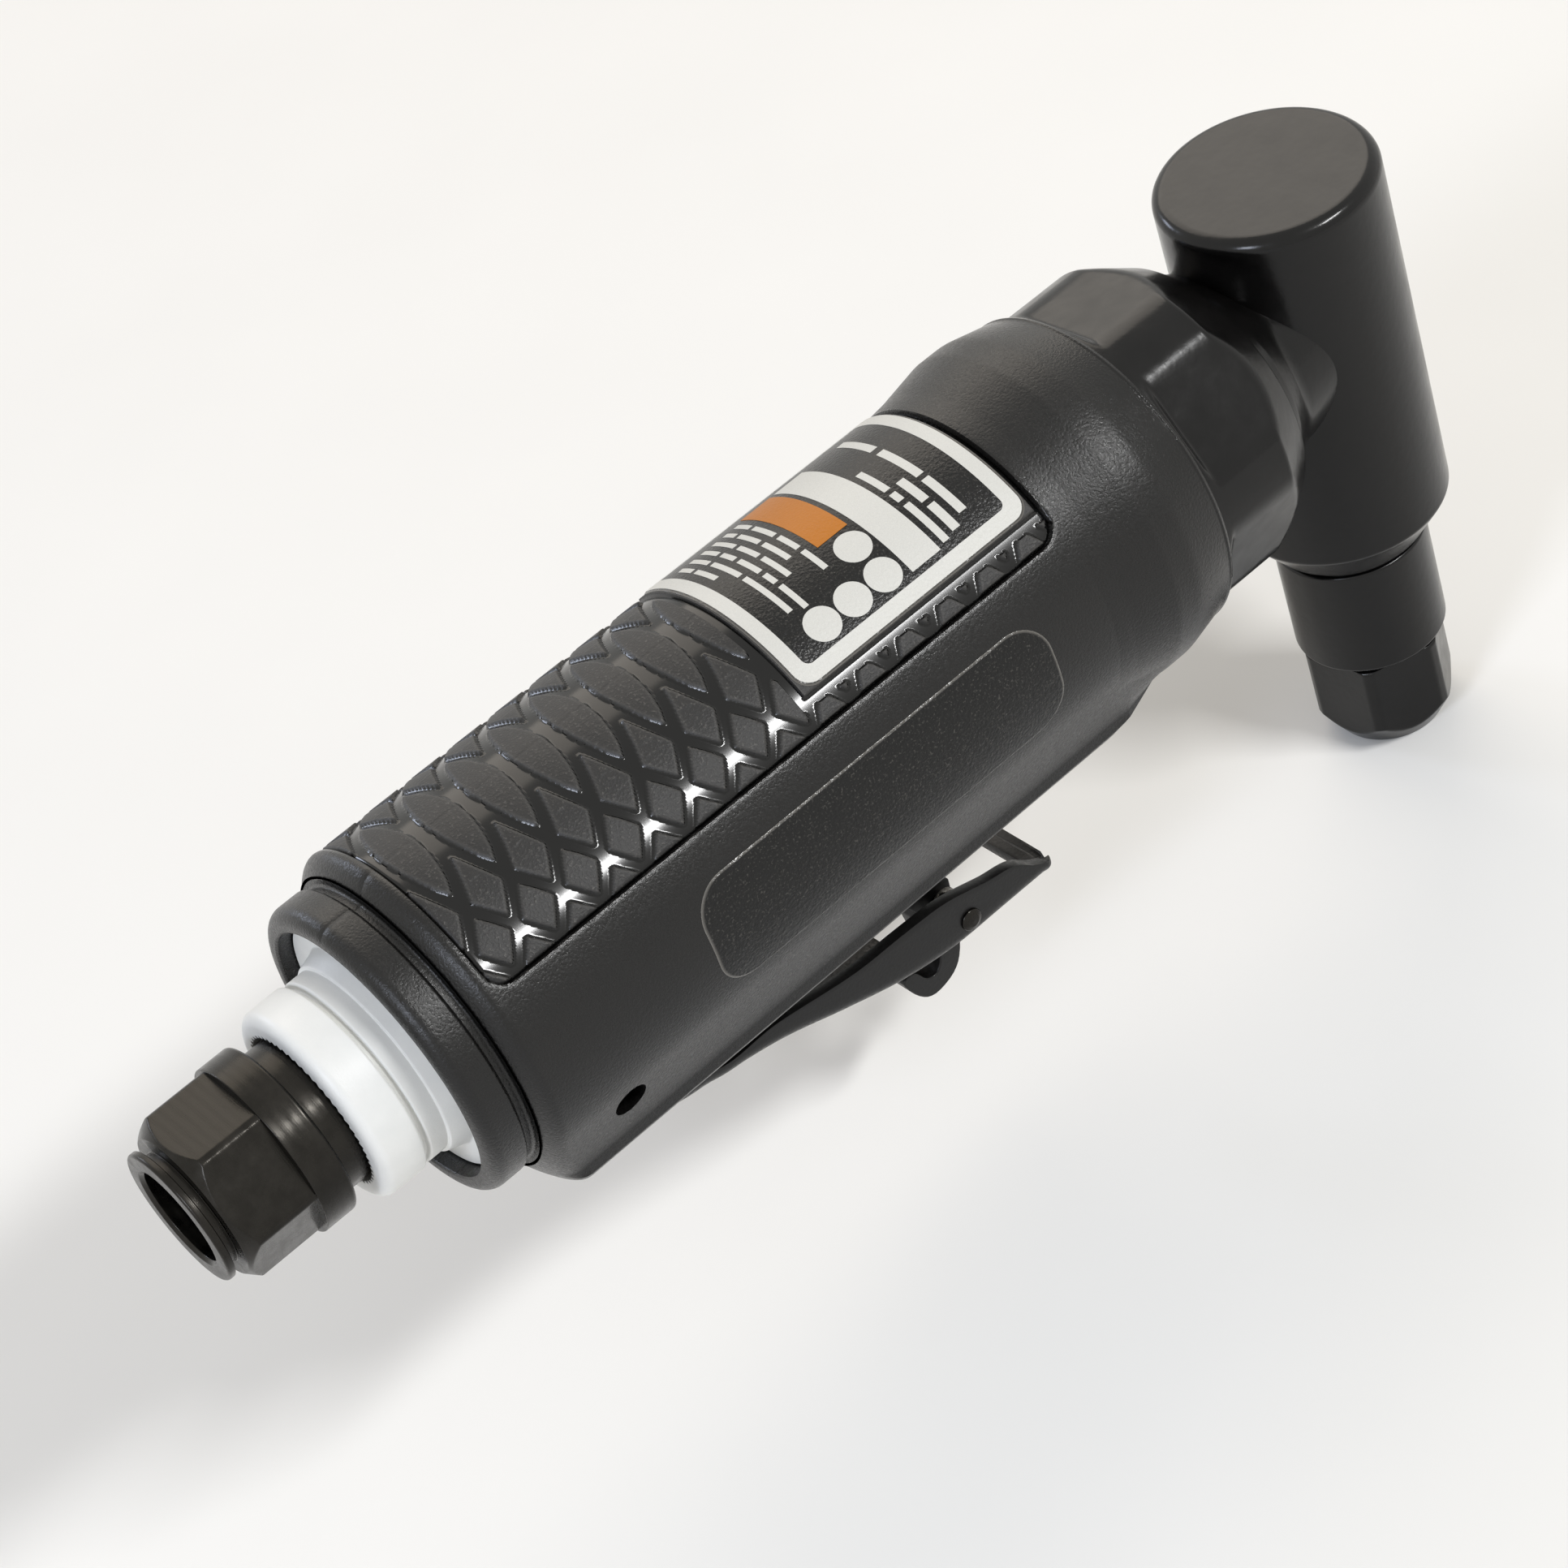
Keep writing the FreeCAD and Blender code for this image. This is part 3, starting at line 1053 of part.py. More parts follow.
lower_top = -d.lower_bearing_top
split_high = lower_top - d.lower_bearing_width
split_low = split_high - d.lower_bearing_split
lower_end = split_low - d.lower_bearing_width
cap_low = head_low - d.cap_groove_width - d.cap_length
nut_top = cap_low - d.nut_gap
nut_end = -handle_height
nose_low = nut_top - d.nut_thread_depth
collet_top = nut_end + d.collet_length
bore_end = collet_top + d.nut_gap
shoulder = lower_end - d.bearing_inset

spindle = new_body("spindle")
turn(spindle, [
    (0, d.head_pocket_top - d.bearing_inset),
    (0, bore_end),
    (d.collet_body_radius + d.running_gap, bore_end),
    (d.collet_body_radius + d.running_gap, nose_low),
    (d.spindle_nose_radius, nose_low),
    (d.spindle_nose_radius, shoulder),
    (d.spindle_seat_radius, shoulder),
    (d.spindle_seat_radius, lower_top),
    (d.spindle_mid_radius, lower_top),
    (d.spindle_mid_radius, upper_floor),
    (d.spindle_top_radius, upper_floor),
    (d.spindle_top_radius, d.head_pocket_top - d.bearing_inset),
], "V_Axis")
gear = new_body("bevel_gear")
bevel_gear(gear, "V_Axis", "XY_Plane", d.gear_hub_radius, d.lower_bearing_top, d.spindle_mid_radius,
           180 / gear_teeth)
bearing("upper_spindle_bearing", upper_floor, d.head_pocket_top,
        d.spindle_top_radius, d.upper_bearing_radius, "V_Axis")
bearing("middle_spindle_bearing", split_high, lower_top, d.spindle_seat_radius, d.head_bore_radius, "V_Axis")
bearing("lower_spindle_bearing", lower_end, split_low, d.spindle_seat_radius, d.head_bore_radius, "V_Axis")

cap_top = lower_end
cap_seal_low = shoulder - d.cap_seal_width
groove_low = head_low - d.cap_groove_width
cap = new_body("bearing_cap")
turn(cap, [
    (d.cap_seal_radius, cap_top),
    (d.cap_seal_radius, cap_seal_low),
    (d.cap_bore_radius, cap_seal_low),
    (d.cap_bore_radius, cap_low),
    (d.cap_radius - d.cap_edge, cap_low),
    (d.cap_radius, cap_low + d.cap_edge),
    (d.cap_radius, groove_low - d.cap_edge),
    (d.cap_radius - d.cap_edge, groove_low),
    (d.cap_groove_radius, groove_low),
    (d.cap_groove_radius, head_low),
    (d.cap_thread_radius, head_low),
    (d.cap_thread_radius, cap_top),
], "V_Axis")
ring("spindle_seal", cap_seal_low, shoulder, d.spindle_nose_radius + d.running_gap, d.cap_seal_radius, "V_Axis")

mouth_top = nut_end + d.nut_mouth_length
chamber_low = mouth_top + d.nut_cone_height
nut = new_body("collet_nut")
turn(nut, [
    (d.spindle_nose_radius, nut_top),
    (d.nut_round - d.cap_edge, nut_top),
    (d.nut_round, nut_top - d.cap_edge),
    (d.nut_round, nut_end + d.nut_chamfer_height),
    (d.nut_end_radius, nut_end),
    (d.nut_mouth_radius, nut_end),
    (d.nut_mouth_radius, mouth_top),
    (d.nut_chamber_radius, chamber_low),
    (d.nut_chamber_radius, nose_low),
    (d.spindle_nose_radius, nose_low),
], "V_Axis")
nut_flat = extrude(nut, d.nut_width * 2, "Pocket", "XY_Plane", nut_end, corners=box_corners(
    -d.nut_round, d.nut_round, d.nut_width / 2, d.nut_round + d.cut_overrun))
pattern(nut, nut_flat, 6, "Z_Axis")

collar_top = nose_low - d.nut_gap / 2
collar_low = collar_top - d.collet_collar_height
collet = new_body("collet")
turn(collet, [
    (d.collet_bore_radius, nut_end),
    (d.collet_tip_radius, nut_end),
    (d.collet_tip_radius, collar_low - d.collet_cone_height),
    (d.collet_collar_radius, collar_low),
    (d.collet_collar_radius, collar_top),
    (d.collet_body_radius, collar_top),
    (d.collet_body_radius, collet_top),
    (d.collet_bore_radius, collet_top),
], "V_Axis")
split = extrude(collet, d.collet_collar_radius * 2, "Pocket", "YZ_Plane", d.collet_collar_radius,
                corners=box_corners(-d.collet_slot_width / 2, d.collet_slot_width / 2,
                                    nut_end - d.cut_overrun, nut_end + d.collet_slot_length))
pattern(collet, split, 3, "Z_Axis")


def check_and_write():
    """Stop on any failed object, then write one STEP file for each sub-part."""
    os.makedirs("parts", exist_ok=True)
    document.recompute()
    for item in document.Objects:
        if "Invalid" in item.State or "Error" in item.State:
            raise RuntimeError(f"{item.Name} failed: {item.State}")
    pieces = [item for item in document.Objects if item.TypeId == "PartDesign::Body"]
    for piece in pieces:
        if piece.Shape.isNull() or not piece.Shape.isValid():
            raise RuntimeError(f"{piece.Label} has no valid shape")
        piece.Shape.exportStep(f"parts/{piece.Label}.step")


check_and_write()
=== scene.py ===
import bmesh
import bpy
import math
import numpy as np
from mathutils import Matrix


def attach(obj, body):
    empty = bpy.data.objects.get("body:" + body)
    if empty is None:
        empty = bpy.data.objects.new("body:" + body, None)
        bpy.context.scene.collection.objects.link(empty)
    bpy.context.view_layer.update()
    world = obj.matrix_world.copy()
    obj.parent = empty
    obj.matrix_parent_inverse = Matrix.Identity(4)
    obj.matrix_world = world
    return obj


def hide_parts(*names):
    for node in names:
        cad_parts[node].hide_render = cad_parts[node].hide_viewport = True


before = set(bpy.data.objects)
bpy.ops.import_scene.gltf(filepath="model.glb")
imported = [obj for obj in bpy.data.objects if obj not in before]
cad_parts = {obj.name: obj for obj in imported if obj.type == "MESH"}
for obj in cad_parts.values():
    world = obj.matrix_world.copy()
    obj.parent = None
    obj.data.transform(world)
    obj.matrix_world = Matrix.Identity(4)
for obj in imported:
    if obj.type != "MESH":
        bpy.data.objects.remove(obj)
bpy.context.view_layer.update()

# Handle housing: the grip-sized barrel with its bell, rear ring and lever lug. It is one
# shell, injection moulded in black glass-filled nylon; the motor slides in from the bell.

handle_height = 62.5
barrel_r = 20.5
motor_bore_r = 17.6
body_rear, bell_front = -132.9, -32.4


def linear(code):
    """Linear colour of an sRGB hex value: each part to the 2.4th power above the toe."""
    parts = np.array([int(code[i:i + 2], 16) / 255 for i in (1, 3, 5)])
    parts = np.where(parts <= 0.04045, parts / 12.92, ((parts + 0.055) / 1.055) ** 2.4)
    return (*parts.tolist(), 1.0)


def wire(node, inputs):
    """Each input gets a value, or a link from a socket or a node's first live output."""
    for key, value in inputs.items():
        if isinstance(value, bpy.types.Node):
            value = next(socket for socket in value.outputs if socket.enabled)
        if isinstance(value, bpy.types.NodeSocket):
            node.id_data.links.new(value, node.inputs[key])
        else:
            node.inputs[key].default_value = value


def add(tree, kind, inputs=None, **settings):
    """A node with its settings and its inputs."""
    made = tree.nodes.new("ShaderNode" + kind)
    for key, value in settings.items():
        setattr(made, key, value)
    wire(made, inputs or {})
    return made


def new_material(name, **values):
    """A material, its node tree, its shader and its coordinates in millimetres. The scale of
    a pattern on them is one over the pattern's size in millimetres."""
    material = bpy.data.materials.new(name)
    material.use_nodes = True
    tree = material.node_tree
    shader = tree.nodes["Principled BSDF"]
    wire(shader, {key.replace("_", " "): value for key, value in values.items()})
    place = add(tree, "TexCoord").outputs["Object"]
    return material, tree, shader, add(tree, "VectorMath", {0: place, 3: 1000.0}, operation="SCALE")


def mottle(shader, place, scale, detail, dark, light, roughness=0.5):
    """Base colour that drifts from a dark to a light tone with a noise, which is returned."""
    tree = shader.id_data
    cloud = add(tree, "TexNoise", {"Vector": place, "Scale": scale, "Detail": detail,
                                   "Roughness": roughness})
    tone = add(tree, "Mix", {"Factor": cloud, "A": linear(dark), "B": linear(light)},
               data_type="RGBA")
    wire(shader, {"Base Color": tone})
    return cloud


def bend(corners, step=10.0, nip=0.05):
    """Line through corners (u, v, radius). A corner becomes an arc that touches both its
    sides, and each straight side gets a point just inside both its ends, so it shades flat."""
    points = []
    for i, corner in enumerate(corners):
        here = np.array(corner[:2], float)
        radius = corner[2] if len(corner) > 2 else 0.0
        if radius == 0 or i in (0, len(corners) - 1):
            points.append(here[None])
            continue
        to_back = np.array(corners[i - 1][:2], float) - here
        to_next = np.array(corners[i + 1][:2], float) - here
        to_back, to_next = to_back / np.linalg.norm(to_back), to_next / np.linalg.norm(to_next)
        half = math.acos(np.clip(to_back @ to_next, -1, 1)) / 2
        reach = radius / math.tan(half)
        inward = (to_back + to_next) / np.linalg.norm(to_back + to_next)
        middle = here + inward * radius / math.sin(half)
        start, end = here + to_back * reach - middle, here + to_next * reach - middle
        whole = math.pi - 2 * half
        count = max(2, math.ceil(math.degrees(whole) / step)) + 1
        share = np.linspace(0, 1, count)[:, None]
        arc = start * np.sin((1 - share) * whole) + end * np.sin(share * whole)
        points.append(middle + arc / math.sin(whole))
    line = [points[0]]
    for before, after in zip(points, points[1:]):
        side = after[0] - before[-1]
        length = np.linalg.norm(side)
        if length > nip * 4:
            inset = side * nip / length
            line.append(np.array([before[-1] + inset, after[0] - inset]))
        line.append(after)
    line = np.concatenate(line)
    keep = np.concatenate([[True], np.linalg.norm(np.diff(line, axis=0), axis=1) > 1e-6])
    return line[keep]


def soft_min(a, b, width):
    """The smaller of two values, with the crease between them rounded over a width."""
    share = np.clip(0.5 + 0.5 * (b - a) / width, 0, 1)
    return b * (1 - share) + a * share - width * share * (1 - share)


def weave(grid, around=True, poles=(False, False), loop=False, keep=None, split=0):
    """Points and faces of a grid of points (rows, columns, 3), and the index of each point
    in the grid. Each cell is a face, the last column joins the first one, a row that is a
    pole is one point with a fan round it, and in a loop the last row is the first one. Cells
    that keep leaves out stay open. A split is a number of columns: triangles from them to
    the others close the first and last row. Faces turn outwards, so the volume is positive."""
    rows, columns = grid.shape[:2]
    index = np.arange(rows * columns).reshape(rows, columns)
    if loop:
        index[-1] = index[0]
    if poles[0]:
        index[0] = index[0, 0]
    if poles[1]:
        index[-1] = index[-1, 0]
    used, flat = np.unique(index, return_inverse=True)
    index = flat.reshape(rows, columns)
    points = grid.reshape(-1, 3)[used]
    following = np.roll(index, -1, axis=1) if around else index[:, 1:]
    index = index if around else index[:, :-1]
    cells = np.stack([index[:-1], following[:-1], following[1:], index[1:]], axis=-1)
    first, last = int(poles[0]), rows - 1 - int(poles[1])
    faces = (cells[first:last].reshape(-1, 4) if keep is None else cells[keep]).tolist()
    if poles[0]:
        faces += cells[0][:, [0, 2, 3]].tolist()
    if poles[1]:
        faces += cells[-1][:, [0, 1, 2]].tolist()
    for row in (index[0], index[-1][::-1]) if split else ():
        top, low = row[-split:], row[-split - 1::-1]
        at = np.round(np.linspace(0, len(low) - 1, split)).astype(int)
        here, after = low[at[:-1]], low[at[1:]]
        faces += np.stack([top[1:], top[:-1], here], -1).tolist()
        faces += np.stack([top[1:], here, after], -1)[here != after].tolist()
    a, b, c, d = (points[cells[..., k].ravel()] for k in range(4))
    if (np.einsum("ij,ij->", b, np.cross(c, a)) + np.einsum("ij,ij->", c, np.cross(d, a))) < 0:
        faces = [face[::-1] for face in faces]
    return points, faces, used


def solid(name, points, faces, material, angle=38.0):
    """Piece of points and faces: smooth, but for the edges that turn by more than an angle."""
    mesh = bpy.data.meshes.new(name)
    mesh.from_pydata(((points + [0, 0, handle_height]) / 1000).tolist(), [], faces)
    mesh.shade_smooth()
    mesh.set_sharp_from_angle(angle=math.radians(angle))
    mesh.materials.append(material)
    piece = bpy.data.objects.new(name, mesh)
    bpy.context.scene.collection.objects.link(piece)
    return piece


def skin(name, grid, material, angle=38.0, values=None, **how):
    """Piece of one woven grid; values are attributes, with a number for each of its points."""
    points, faces, used = weave(grid, **how)
    piece = solid(name, points, faces, material, angle)
    for key, value in (values or {}).items():
        numbers = value.reshape(-1)[used].astype(np.float32)
        piece.data.attributes.new(key, "FLOAT", "POINT").data.foreach_set("value", numbers)
    return piece


def fit(piece, body, slot, *nodes):
    """The piece moves with a body and stands for nodes of the frame, which are hidden. Its slot is
    not used.
    """
    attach(piece, body)
    if nodes:
        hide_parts(*nodes)


# Nylon: satin black moulding with a spark-eroded grain, which breaks highlights to specks.
# The grain of a third of a millimetre is coarser than the real one, so that it shows.
nylon, tree, shader, place = new_material("moulded_black_nylon", IOR=1.5, Specular_IOR_Level=0.37)
mottle(shader, place, 0.12, 3.0, "#0a0a0a", "#131211")
grain = add(tree, "TexNoise", {"Vector": place, "Scale": 3.2, "Detail": 3.0, "Roughness": 0.6})
rough = add(tree, "MapRange", {"Value": grain, "From Min": 0.35, "From Max": 0.65, "To Min": 0.24,
                               "To Max": 0.40})
worn_smooth = add(tree, "Attribute", attribute_name="edge_shine").outputs["Fac"]
rough = add(tree, "Mix", {"Factor": worn_smooth, "A": rough, "B": 0.12})
dents = add(tree, "Bump", {"Height": grain, "Strength": 0.6, "Distance": 0.00012})
wire(shader, {"Roughness": rough, "Normal": dents})

# Angles are from the crown (+Z) towards -Y. The lug's outline is a leaning wall that touches
# the barrel, a corner arc and a flat underside.
lean = math.radians(25)
underside, flat_half, corner_r, slot_half = 22.0, 9.0, 6.4, 8.4
arc_z = underside - corner_r
foot_angle = 90 + math.degrees(math.atan2(arc_z + corner_r * math.sin(lean),
                                          flat_half + corner_r * math.cos(lean)))
flat_angle = 180 - math.degrees(math.atan2(flat_half, underside))
slot_angle = 180 - math.degrees(math.atan2(slot_half, underside))
half_angles = np.concatenate([
    [0, 0.25, 0.6], np.arange(3, 50, 3), np.arange(50, 58, 0.4), np.arange(58, 115, 3),
    np.arange(115, 131, 0.42), np.linspace(131, foot_angle, 5)[:-1],
    np.linspace(foot_angle, flat_angle, 13), np.linspace(flat_angle, slot_angle, 3)[1:],
    np.full(5, slot_angle),
    180 - np.degrees(np.arctan(np.linspace(slot_half, 0, 9)[1:] / underside))])
wall_columns = np.arange(len(half_angles) - 13, len(half_angles) - 8)
roof_columns = np.arange(len(half_angles) - 8, len(half_angles))


def lug_outline(angle):
    """Distance of the lug's outline from the handle axis: leaning line, arc, flat line."""
    turn = np.radians(angle)
    wall = barrel_r / np.cos(np.radians(np.clip(angle, 115, 170) - 115))
    towards = flat_half * np.sin(turn) - arc_z * np.cos(turn)
    square = towards ** 2 - flat_half ** 2 - arc_z ** 2 + corner_r ** 2
    arc = towards + np.sqrt(np.maximum(square, 0))
    flat = underside / np.cos(np.pi - np.clip(turn, 2.0, None))
    return np.select([angle <= 115, angle <= foot_angle, angle <= flat_angle],
                     [barrel_r, wall, arc], flat)


slot_rear, slot_step, slot_ramp, slot_front = -127.4, -116.2, -104.8, -98.4
outside = bend([(-130.0, 0), (-130.0, 14.2), (-135.3, 14.2), (-135.3, 15.9),
                (-138.7, 15.9, 0.35), (-138.7, 18.4, 1.7), (-134.1, 18.4, 0.5),
                (-134.1, 17.7, 0.2), (body_rear, 17.7, 0.4), (body_rear, 19.0)], 12)
middle_x = np.unique(np.round(np.concatenate([
    np.arange(body_rear, -126.4, 0.28), np.arange(-124.5, -119.4, 0.13),
    np.arange(-131.2, -128.0, 0.16), np.arange(-118, -56, 2.9), np.arange(-53.4, -49.3, 0.17),
    np.arange(-58, -50, 1.0), [slot_rear - 0.02, slot_rear, slot_step - 0.02, slot_step,
                               slot_ramp, slot_front]]), 2))
middle_x = middle_x[middle_x < -50.1]
bell = bend([(-50.0, barrel_r), (-47.6, 20.75, 9), (-41.9, 21.8, 3.5), (-38.6, 21.8, 6),
             (-33.1, 20.65, 0.1), (-32.85, 20.74, 0.12), (bell_front, barrel_r, 0.2),
             (bell_front, motor_bore_r), (-92.0, motor_bore_r), (-92.0, 0)], 4)
row_x = np.concatenate([outside[:, 0], middle_x, bell[:, 0]])
row_r = np.concatenate([outside[:, 1], np.full(len(middle_x), barrel_r), bell[:, 1]])
inner_rows = len(bell) - np.argmax(bell[:, 1] < 20.0)
on_lug = np.zeros(len(row_x), bool)
on_lug[len(outside) - 1:len(row_x) - inner_rows] = True
on_lug &= row_x < -38.0
lug_row = on_lug[:, None]

angles = np.concatenate([half_angles, 360 - half_angles[-2:0:-1]])
folded = np.where(angles > 180, 360 - angles, angles)
grid_x, grid_a = np.meshgrid(row_x, angles, indexing="ij")
grid_r = np.repeat(row_r[:, None], len(angles), 1)
signed = np.where(grid_a > 180, grid_a - 360, grid_a)
rear_limit = np.interp(grid_x, [body_rear, -131.9, -131.0, -126.1], [18.6, 20.2, 21.7, 28.6])
front_limit = np.interp(grid_x, [-56.4, -41.8, -38.0], [28.4, 21.8, 21.8])
body_r = np.where(lug_row, np.maximum(grid_r, lug_outline(folded)[None]), grid_r)
body_r = np.where(lug_row & (grid_x < -120), soft_min(body_r, rear_limit, 1.9), body_r)
body_r = np.where(lug_row & (grid_x > -60),
                  np.maximum(soft_min(body_r, front_limit, 1.6), grid_r), body_r)

# Grip recess: a pocket with round corners, its sides sloped over a tenth of a millimetre
recess_rear, recess_front, recess_half, recess_corner = -130.1, -50.5, 54.0, 2.6


def inside_pocket(x, angle):
    """Distance inside a round-cornered oblong, along the handle and round the barrel."""
    across = np.radians(recess_half) * barrel_r - np.abs(np.radians(angle)) * barrel_r
    along = (recess_front - recess_rear) / 2 - np.abs(x - (recess_front + recess_rear) / 2)
    to_corner = np.hypot(np.maximum(recess_corner - across, 0),
                         np.maximum(recess_corner - along, 0))
    return np.where((across < recess_corner) & (along < recess_corner),
                    recess_corner - to_corner, np.minimum(across, along))


pocket = inside_pocket(grid_x, signed)
lip = np.clip(pocket / 0.5 + 1.0, 0, 1) * 0.10
body_r = body_r - np.where(lug_row, np.clip((pocket + 0.02) / 0.16, 0, 1) * 1.4 + lip, 0)
# Parting line of the mould: a hairline across the rear, on the crown
hairline = (grid_x > -138.6) & (grid_x < -129.9) & (grid_r > 17.2) & (np.abs(signed) < 0.3)
body_r = body_r - np.where(hairline, 0.06, 0)
# Edges that are worn smooth: the pocket's rim and the bell's mouth
worn = np.exp(-((pocket + 0.22) / 0.2) ** 2) * lug_row + ((grid_x > -33.2) & (grid_r > 19.9))
turn = np.radians(grid_a)
shell = np.stack([grid_x, -body_r * np.sin(turn), body_r * np.cos(turn)], axis=-1)
# Lever slot: its walls and roof are columns that rest on the underside outside the slot
roof = np.interp(row_x, [slot_rear - 0.01, slot_rear, slot_step - 0.01, slot_step, slot_ramp,
                         slot_front], [-underside, -7.4, -7.4, -16.95, -16.95, -underside])
in_slot = (row_x > slot_rear - 0.01) & (row_x < slot_front + 0.01) & on_lug
roof = roof[in_slot][:, None]
wall_z = -underside + (roof + underside) * np.linspace(0.02, 1, 5)[None]
for walls, roofs in ((wall_columns, roof_columns),
                     (len(angles) - wall_columns, len(angles) - roof_columns[:-1])):
    shell[np.ix_(in_slot, walls, [2])] = wall_z[..., None]
    shell[np.ix_(in_slot, roofs, [2])] = roof[..., None]
# Pin hole: points near its rim are drawn onto the rim, those inside go down to the pin
pin_x, pin_z, hole_r, pin_half = -122.0, -10.9, 2.1, 13.0
off_x, off_z = shell[..., 0] - pin_x, shell[..., 2] - pin_z
from_pin = np.hypot(off_x, off_z)
near = lug_row & (np.abs(shell[..., 1]) > 14.0)
pull = np.where(near & (np.abs(from_pin - hole_r) < 0.11), hole_r / np.maximum(from_pin, 1e-6), 1)
shell[..., 0] = pin_x + off_x * pull
shell[..., 2] = pin_z + off_z * pull
hole = near & (from_pin < hole_r - 0.1)
shell[..., 1] = np.where(hole, np.sign(shell[..., 1]) * pin_half, shell[..., 1])
housing = skin("housing", shell, nylon, 42, {"edge_shine": worn}, poles=(True, True))
fit(housing, "handle", "housing_black", "handle_housing")

# Grip sleeve: soft rubber moulded into the recess. Its leaves over the crown and lozenges
# down both sides stand half a millimetre above a glossy floor.

pitch, phase_x = 5.8, -89.15
mm_per_degree = 0.36
floor_r, top_r, under_r, pad_r, brim_r = 19.98, 20.40, 19.05, 20.46, 19.6
label_rear, label_front, label_half = -84.6, -51.4, 43.0
grip_x = np.unique(np.concatenate([np.arange(recess_rear, recess_front, 0.21),
                                   [recess_front]]))
grip_a = np.linspace(-recess_half, recess_half, 187)
gx, ga = np.meshgrid(grip_x, grip_a, indexing="ij")
phase = (gx - phase_x) / pitch
from_zero = np.abs(phase - np.round(phase))
from_half = 0.5 - from_zero
fold = np.abs(ga)


def island(angles_at, widths, away):
    """Distance inside an island whose half width, in pitches, runs through a table of angles."""
    width = np.interp(fold, angles_at, widths, left=-0.2, right=-0.2)
    return (width - away) * pitch * 0.78


leaf = island([0, 7.5, 14, 19, 23.8], [0.36, 0.32, 0.236, 0.145, 0], from_half)
upper = island([13.1, 21.4, 29.2, 33.9, 38.7], [0, 0.175, 0.362, 0.19, 0], from_zero)
lower = island([33.2, 37.6, 42.2, 46.4, 50.3], [0, 0.19, 0.362, 0.18, 0], from_half)
edge = island([46.5, 53], [0, 0.33], from_zero)
edge = np.where(fold < 52.6, edge, np.minimum(edge, (52.9 - fold) * mm_per_degree))
field = np.max(np.stack([leaf, upper, lower, edge]), axis=0)
# Beside the label the strip carries flat-topped triangles and small darts, and below the
# label is a plain pad
strip = gx > label_rear - 1.2
blunt = np.minimum(island([47.2, 48.0, 53], [0.10, 0.16, 0.33], from_zero),
                   (52.8 - fold) * mm_per_degree)
dart = island([47.3, 49.6], [0.10, 0], from_half)
pad = np.minimum(np.minimum(gx - (label_rear - 0.25), label_front + 0.25 - gx),
                 (label_half + 0.6 - fold) * mm_per_degree)
field = np.where(strip, np.maximum(blunt, dart), field)
field = np.where(strip & (pad > -1.0) & (fold < 46), pad, field)
rise = np.clip(field / 0.15 + 0.5, 0, 1)
rise = rise * rise * (3 - 2 * rise)
dome = np.clip(field / 1.6, 0, 1) * 0.10 * (fold < 24) * ~strip
parting = np.exp(-(ga * mm_per_degree / 0.10) ** 2) * 0.05
sleeve_r = floor_r + rise * (top_r - floor_r) + dome - parting * (rise > 0.5)
edge_drop = np.clip((0.35 - inside_pocket(gx, ga)) / 0.35, 0, 1) * 0.3
sleeve_r = np.where(strip & (pad > 0.1), pad_r, sleeve_r - edge_drop)
# The underside's columns run back below the top; the end rows of the top are cut lower
back_a = np.linspace(recess_half, -recess_half, 20)
closed_a = np.concatenate([grip_a, back_a])
closed_r = np.concatenate([sleeve_r, np.full((len(grip_x), len(back_a)), under_r)], axis=1)
closed_r[[0, -1], :len(grip_a)] = brim_r
turn = np.radians(closed_a)[None]
sleeve = np.stack([np.repeat(grip_x[:, None], len(closed_a), 1), -closed_r * np.sin(turn),
                   closed_r * np.cos(turn)], -1)
none = np.zeros((len(grip_x), len(back_a)))
raised = np.concatenate([rise, none], axis=1)
# Painted highlight: a pale line along each island's rim, where a rounded edge would catch the light
painted_rim_highlight = np.concatenate([np.exp(-((field - 0.16) / 0.11) ** 2), none], axis=1)

# Rubber: matt charcoal on the islands, with pale specks painted in as glints and a fine pale
# line painted along their rims as a highlight, and glossy black in the grooves
rubber, tree, shader, place = new_material("moulded_grip_rubber", IOR=1.5, Specular_IOR_Level=0.38)
high = add(tree, "Attribute", attribute_name="raised").outputs["Fac"]
line = add(tree, "Attribute", attribute_name="painted_rim_highlight").outputs["Fac"]
speck = add(tree, "TexNoise", {"Vector": place, "Scale": 3.2, "Detail": 2.0, "Roughness": 0.6})
# Painted glints: pale specks mixed into the colour where the noise is high; the same noise bumps
# the islands
glint_speck_paint = add(tree, "MapRange", {"Value": speck, "From Min": 0.58, "From Max": 0.74, "To Min": 0.0,
                                  "To Max": 0.4})
# The rim's painted highlight: a pale colour mixed in along the rim line
rim_highlight_paint = add(tree, "Math", {0: line, 1: 0.22}, operation="MULTIPLY")
tone = add(tree, "TexNoise", {"Vector": place, "Scale": 0.25, "Detail": 4.0})
for share, low, full in ((tone, linear("#19191a"), linear("#242322")),
                         (glint_speck_paint, None, linear("#6f6c68")),
                         (rim_highlight_paint, None, linear("#6d6b68")), (high, linear("#030303"), None)):
    tone = add(tree, "Mix", {"Factor": share, "A": low or tone, "B": full or tone},
               data_type="RGBA")
rough = add(tree, "MapRange", {"Value": high, "From Min": 0.2, "From Max": 0.9, "To Min": 0.15,
                               "To Max": 0.5})
coarse = add(tree, "Math", {0: high, 1: 0.5}, operation="MULTIPLY")
dents = add(tree, "Bump", {"Height": speck, "Strength": coarse, "Distance": 0.00015})
wire(shader, {"Base Color": tone, "Roughness": rough, "Normal": dents})
grip = skin("grip", sleeve, rubber, 60, {"raised": raised, "painted_rim_highlight": painted_rim_highlight}, split=len(grip_a))
fit(grip, "handle", "grip_rubber", "grip_sleeve")

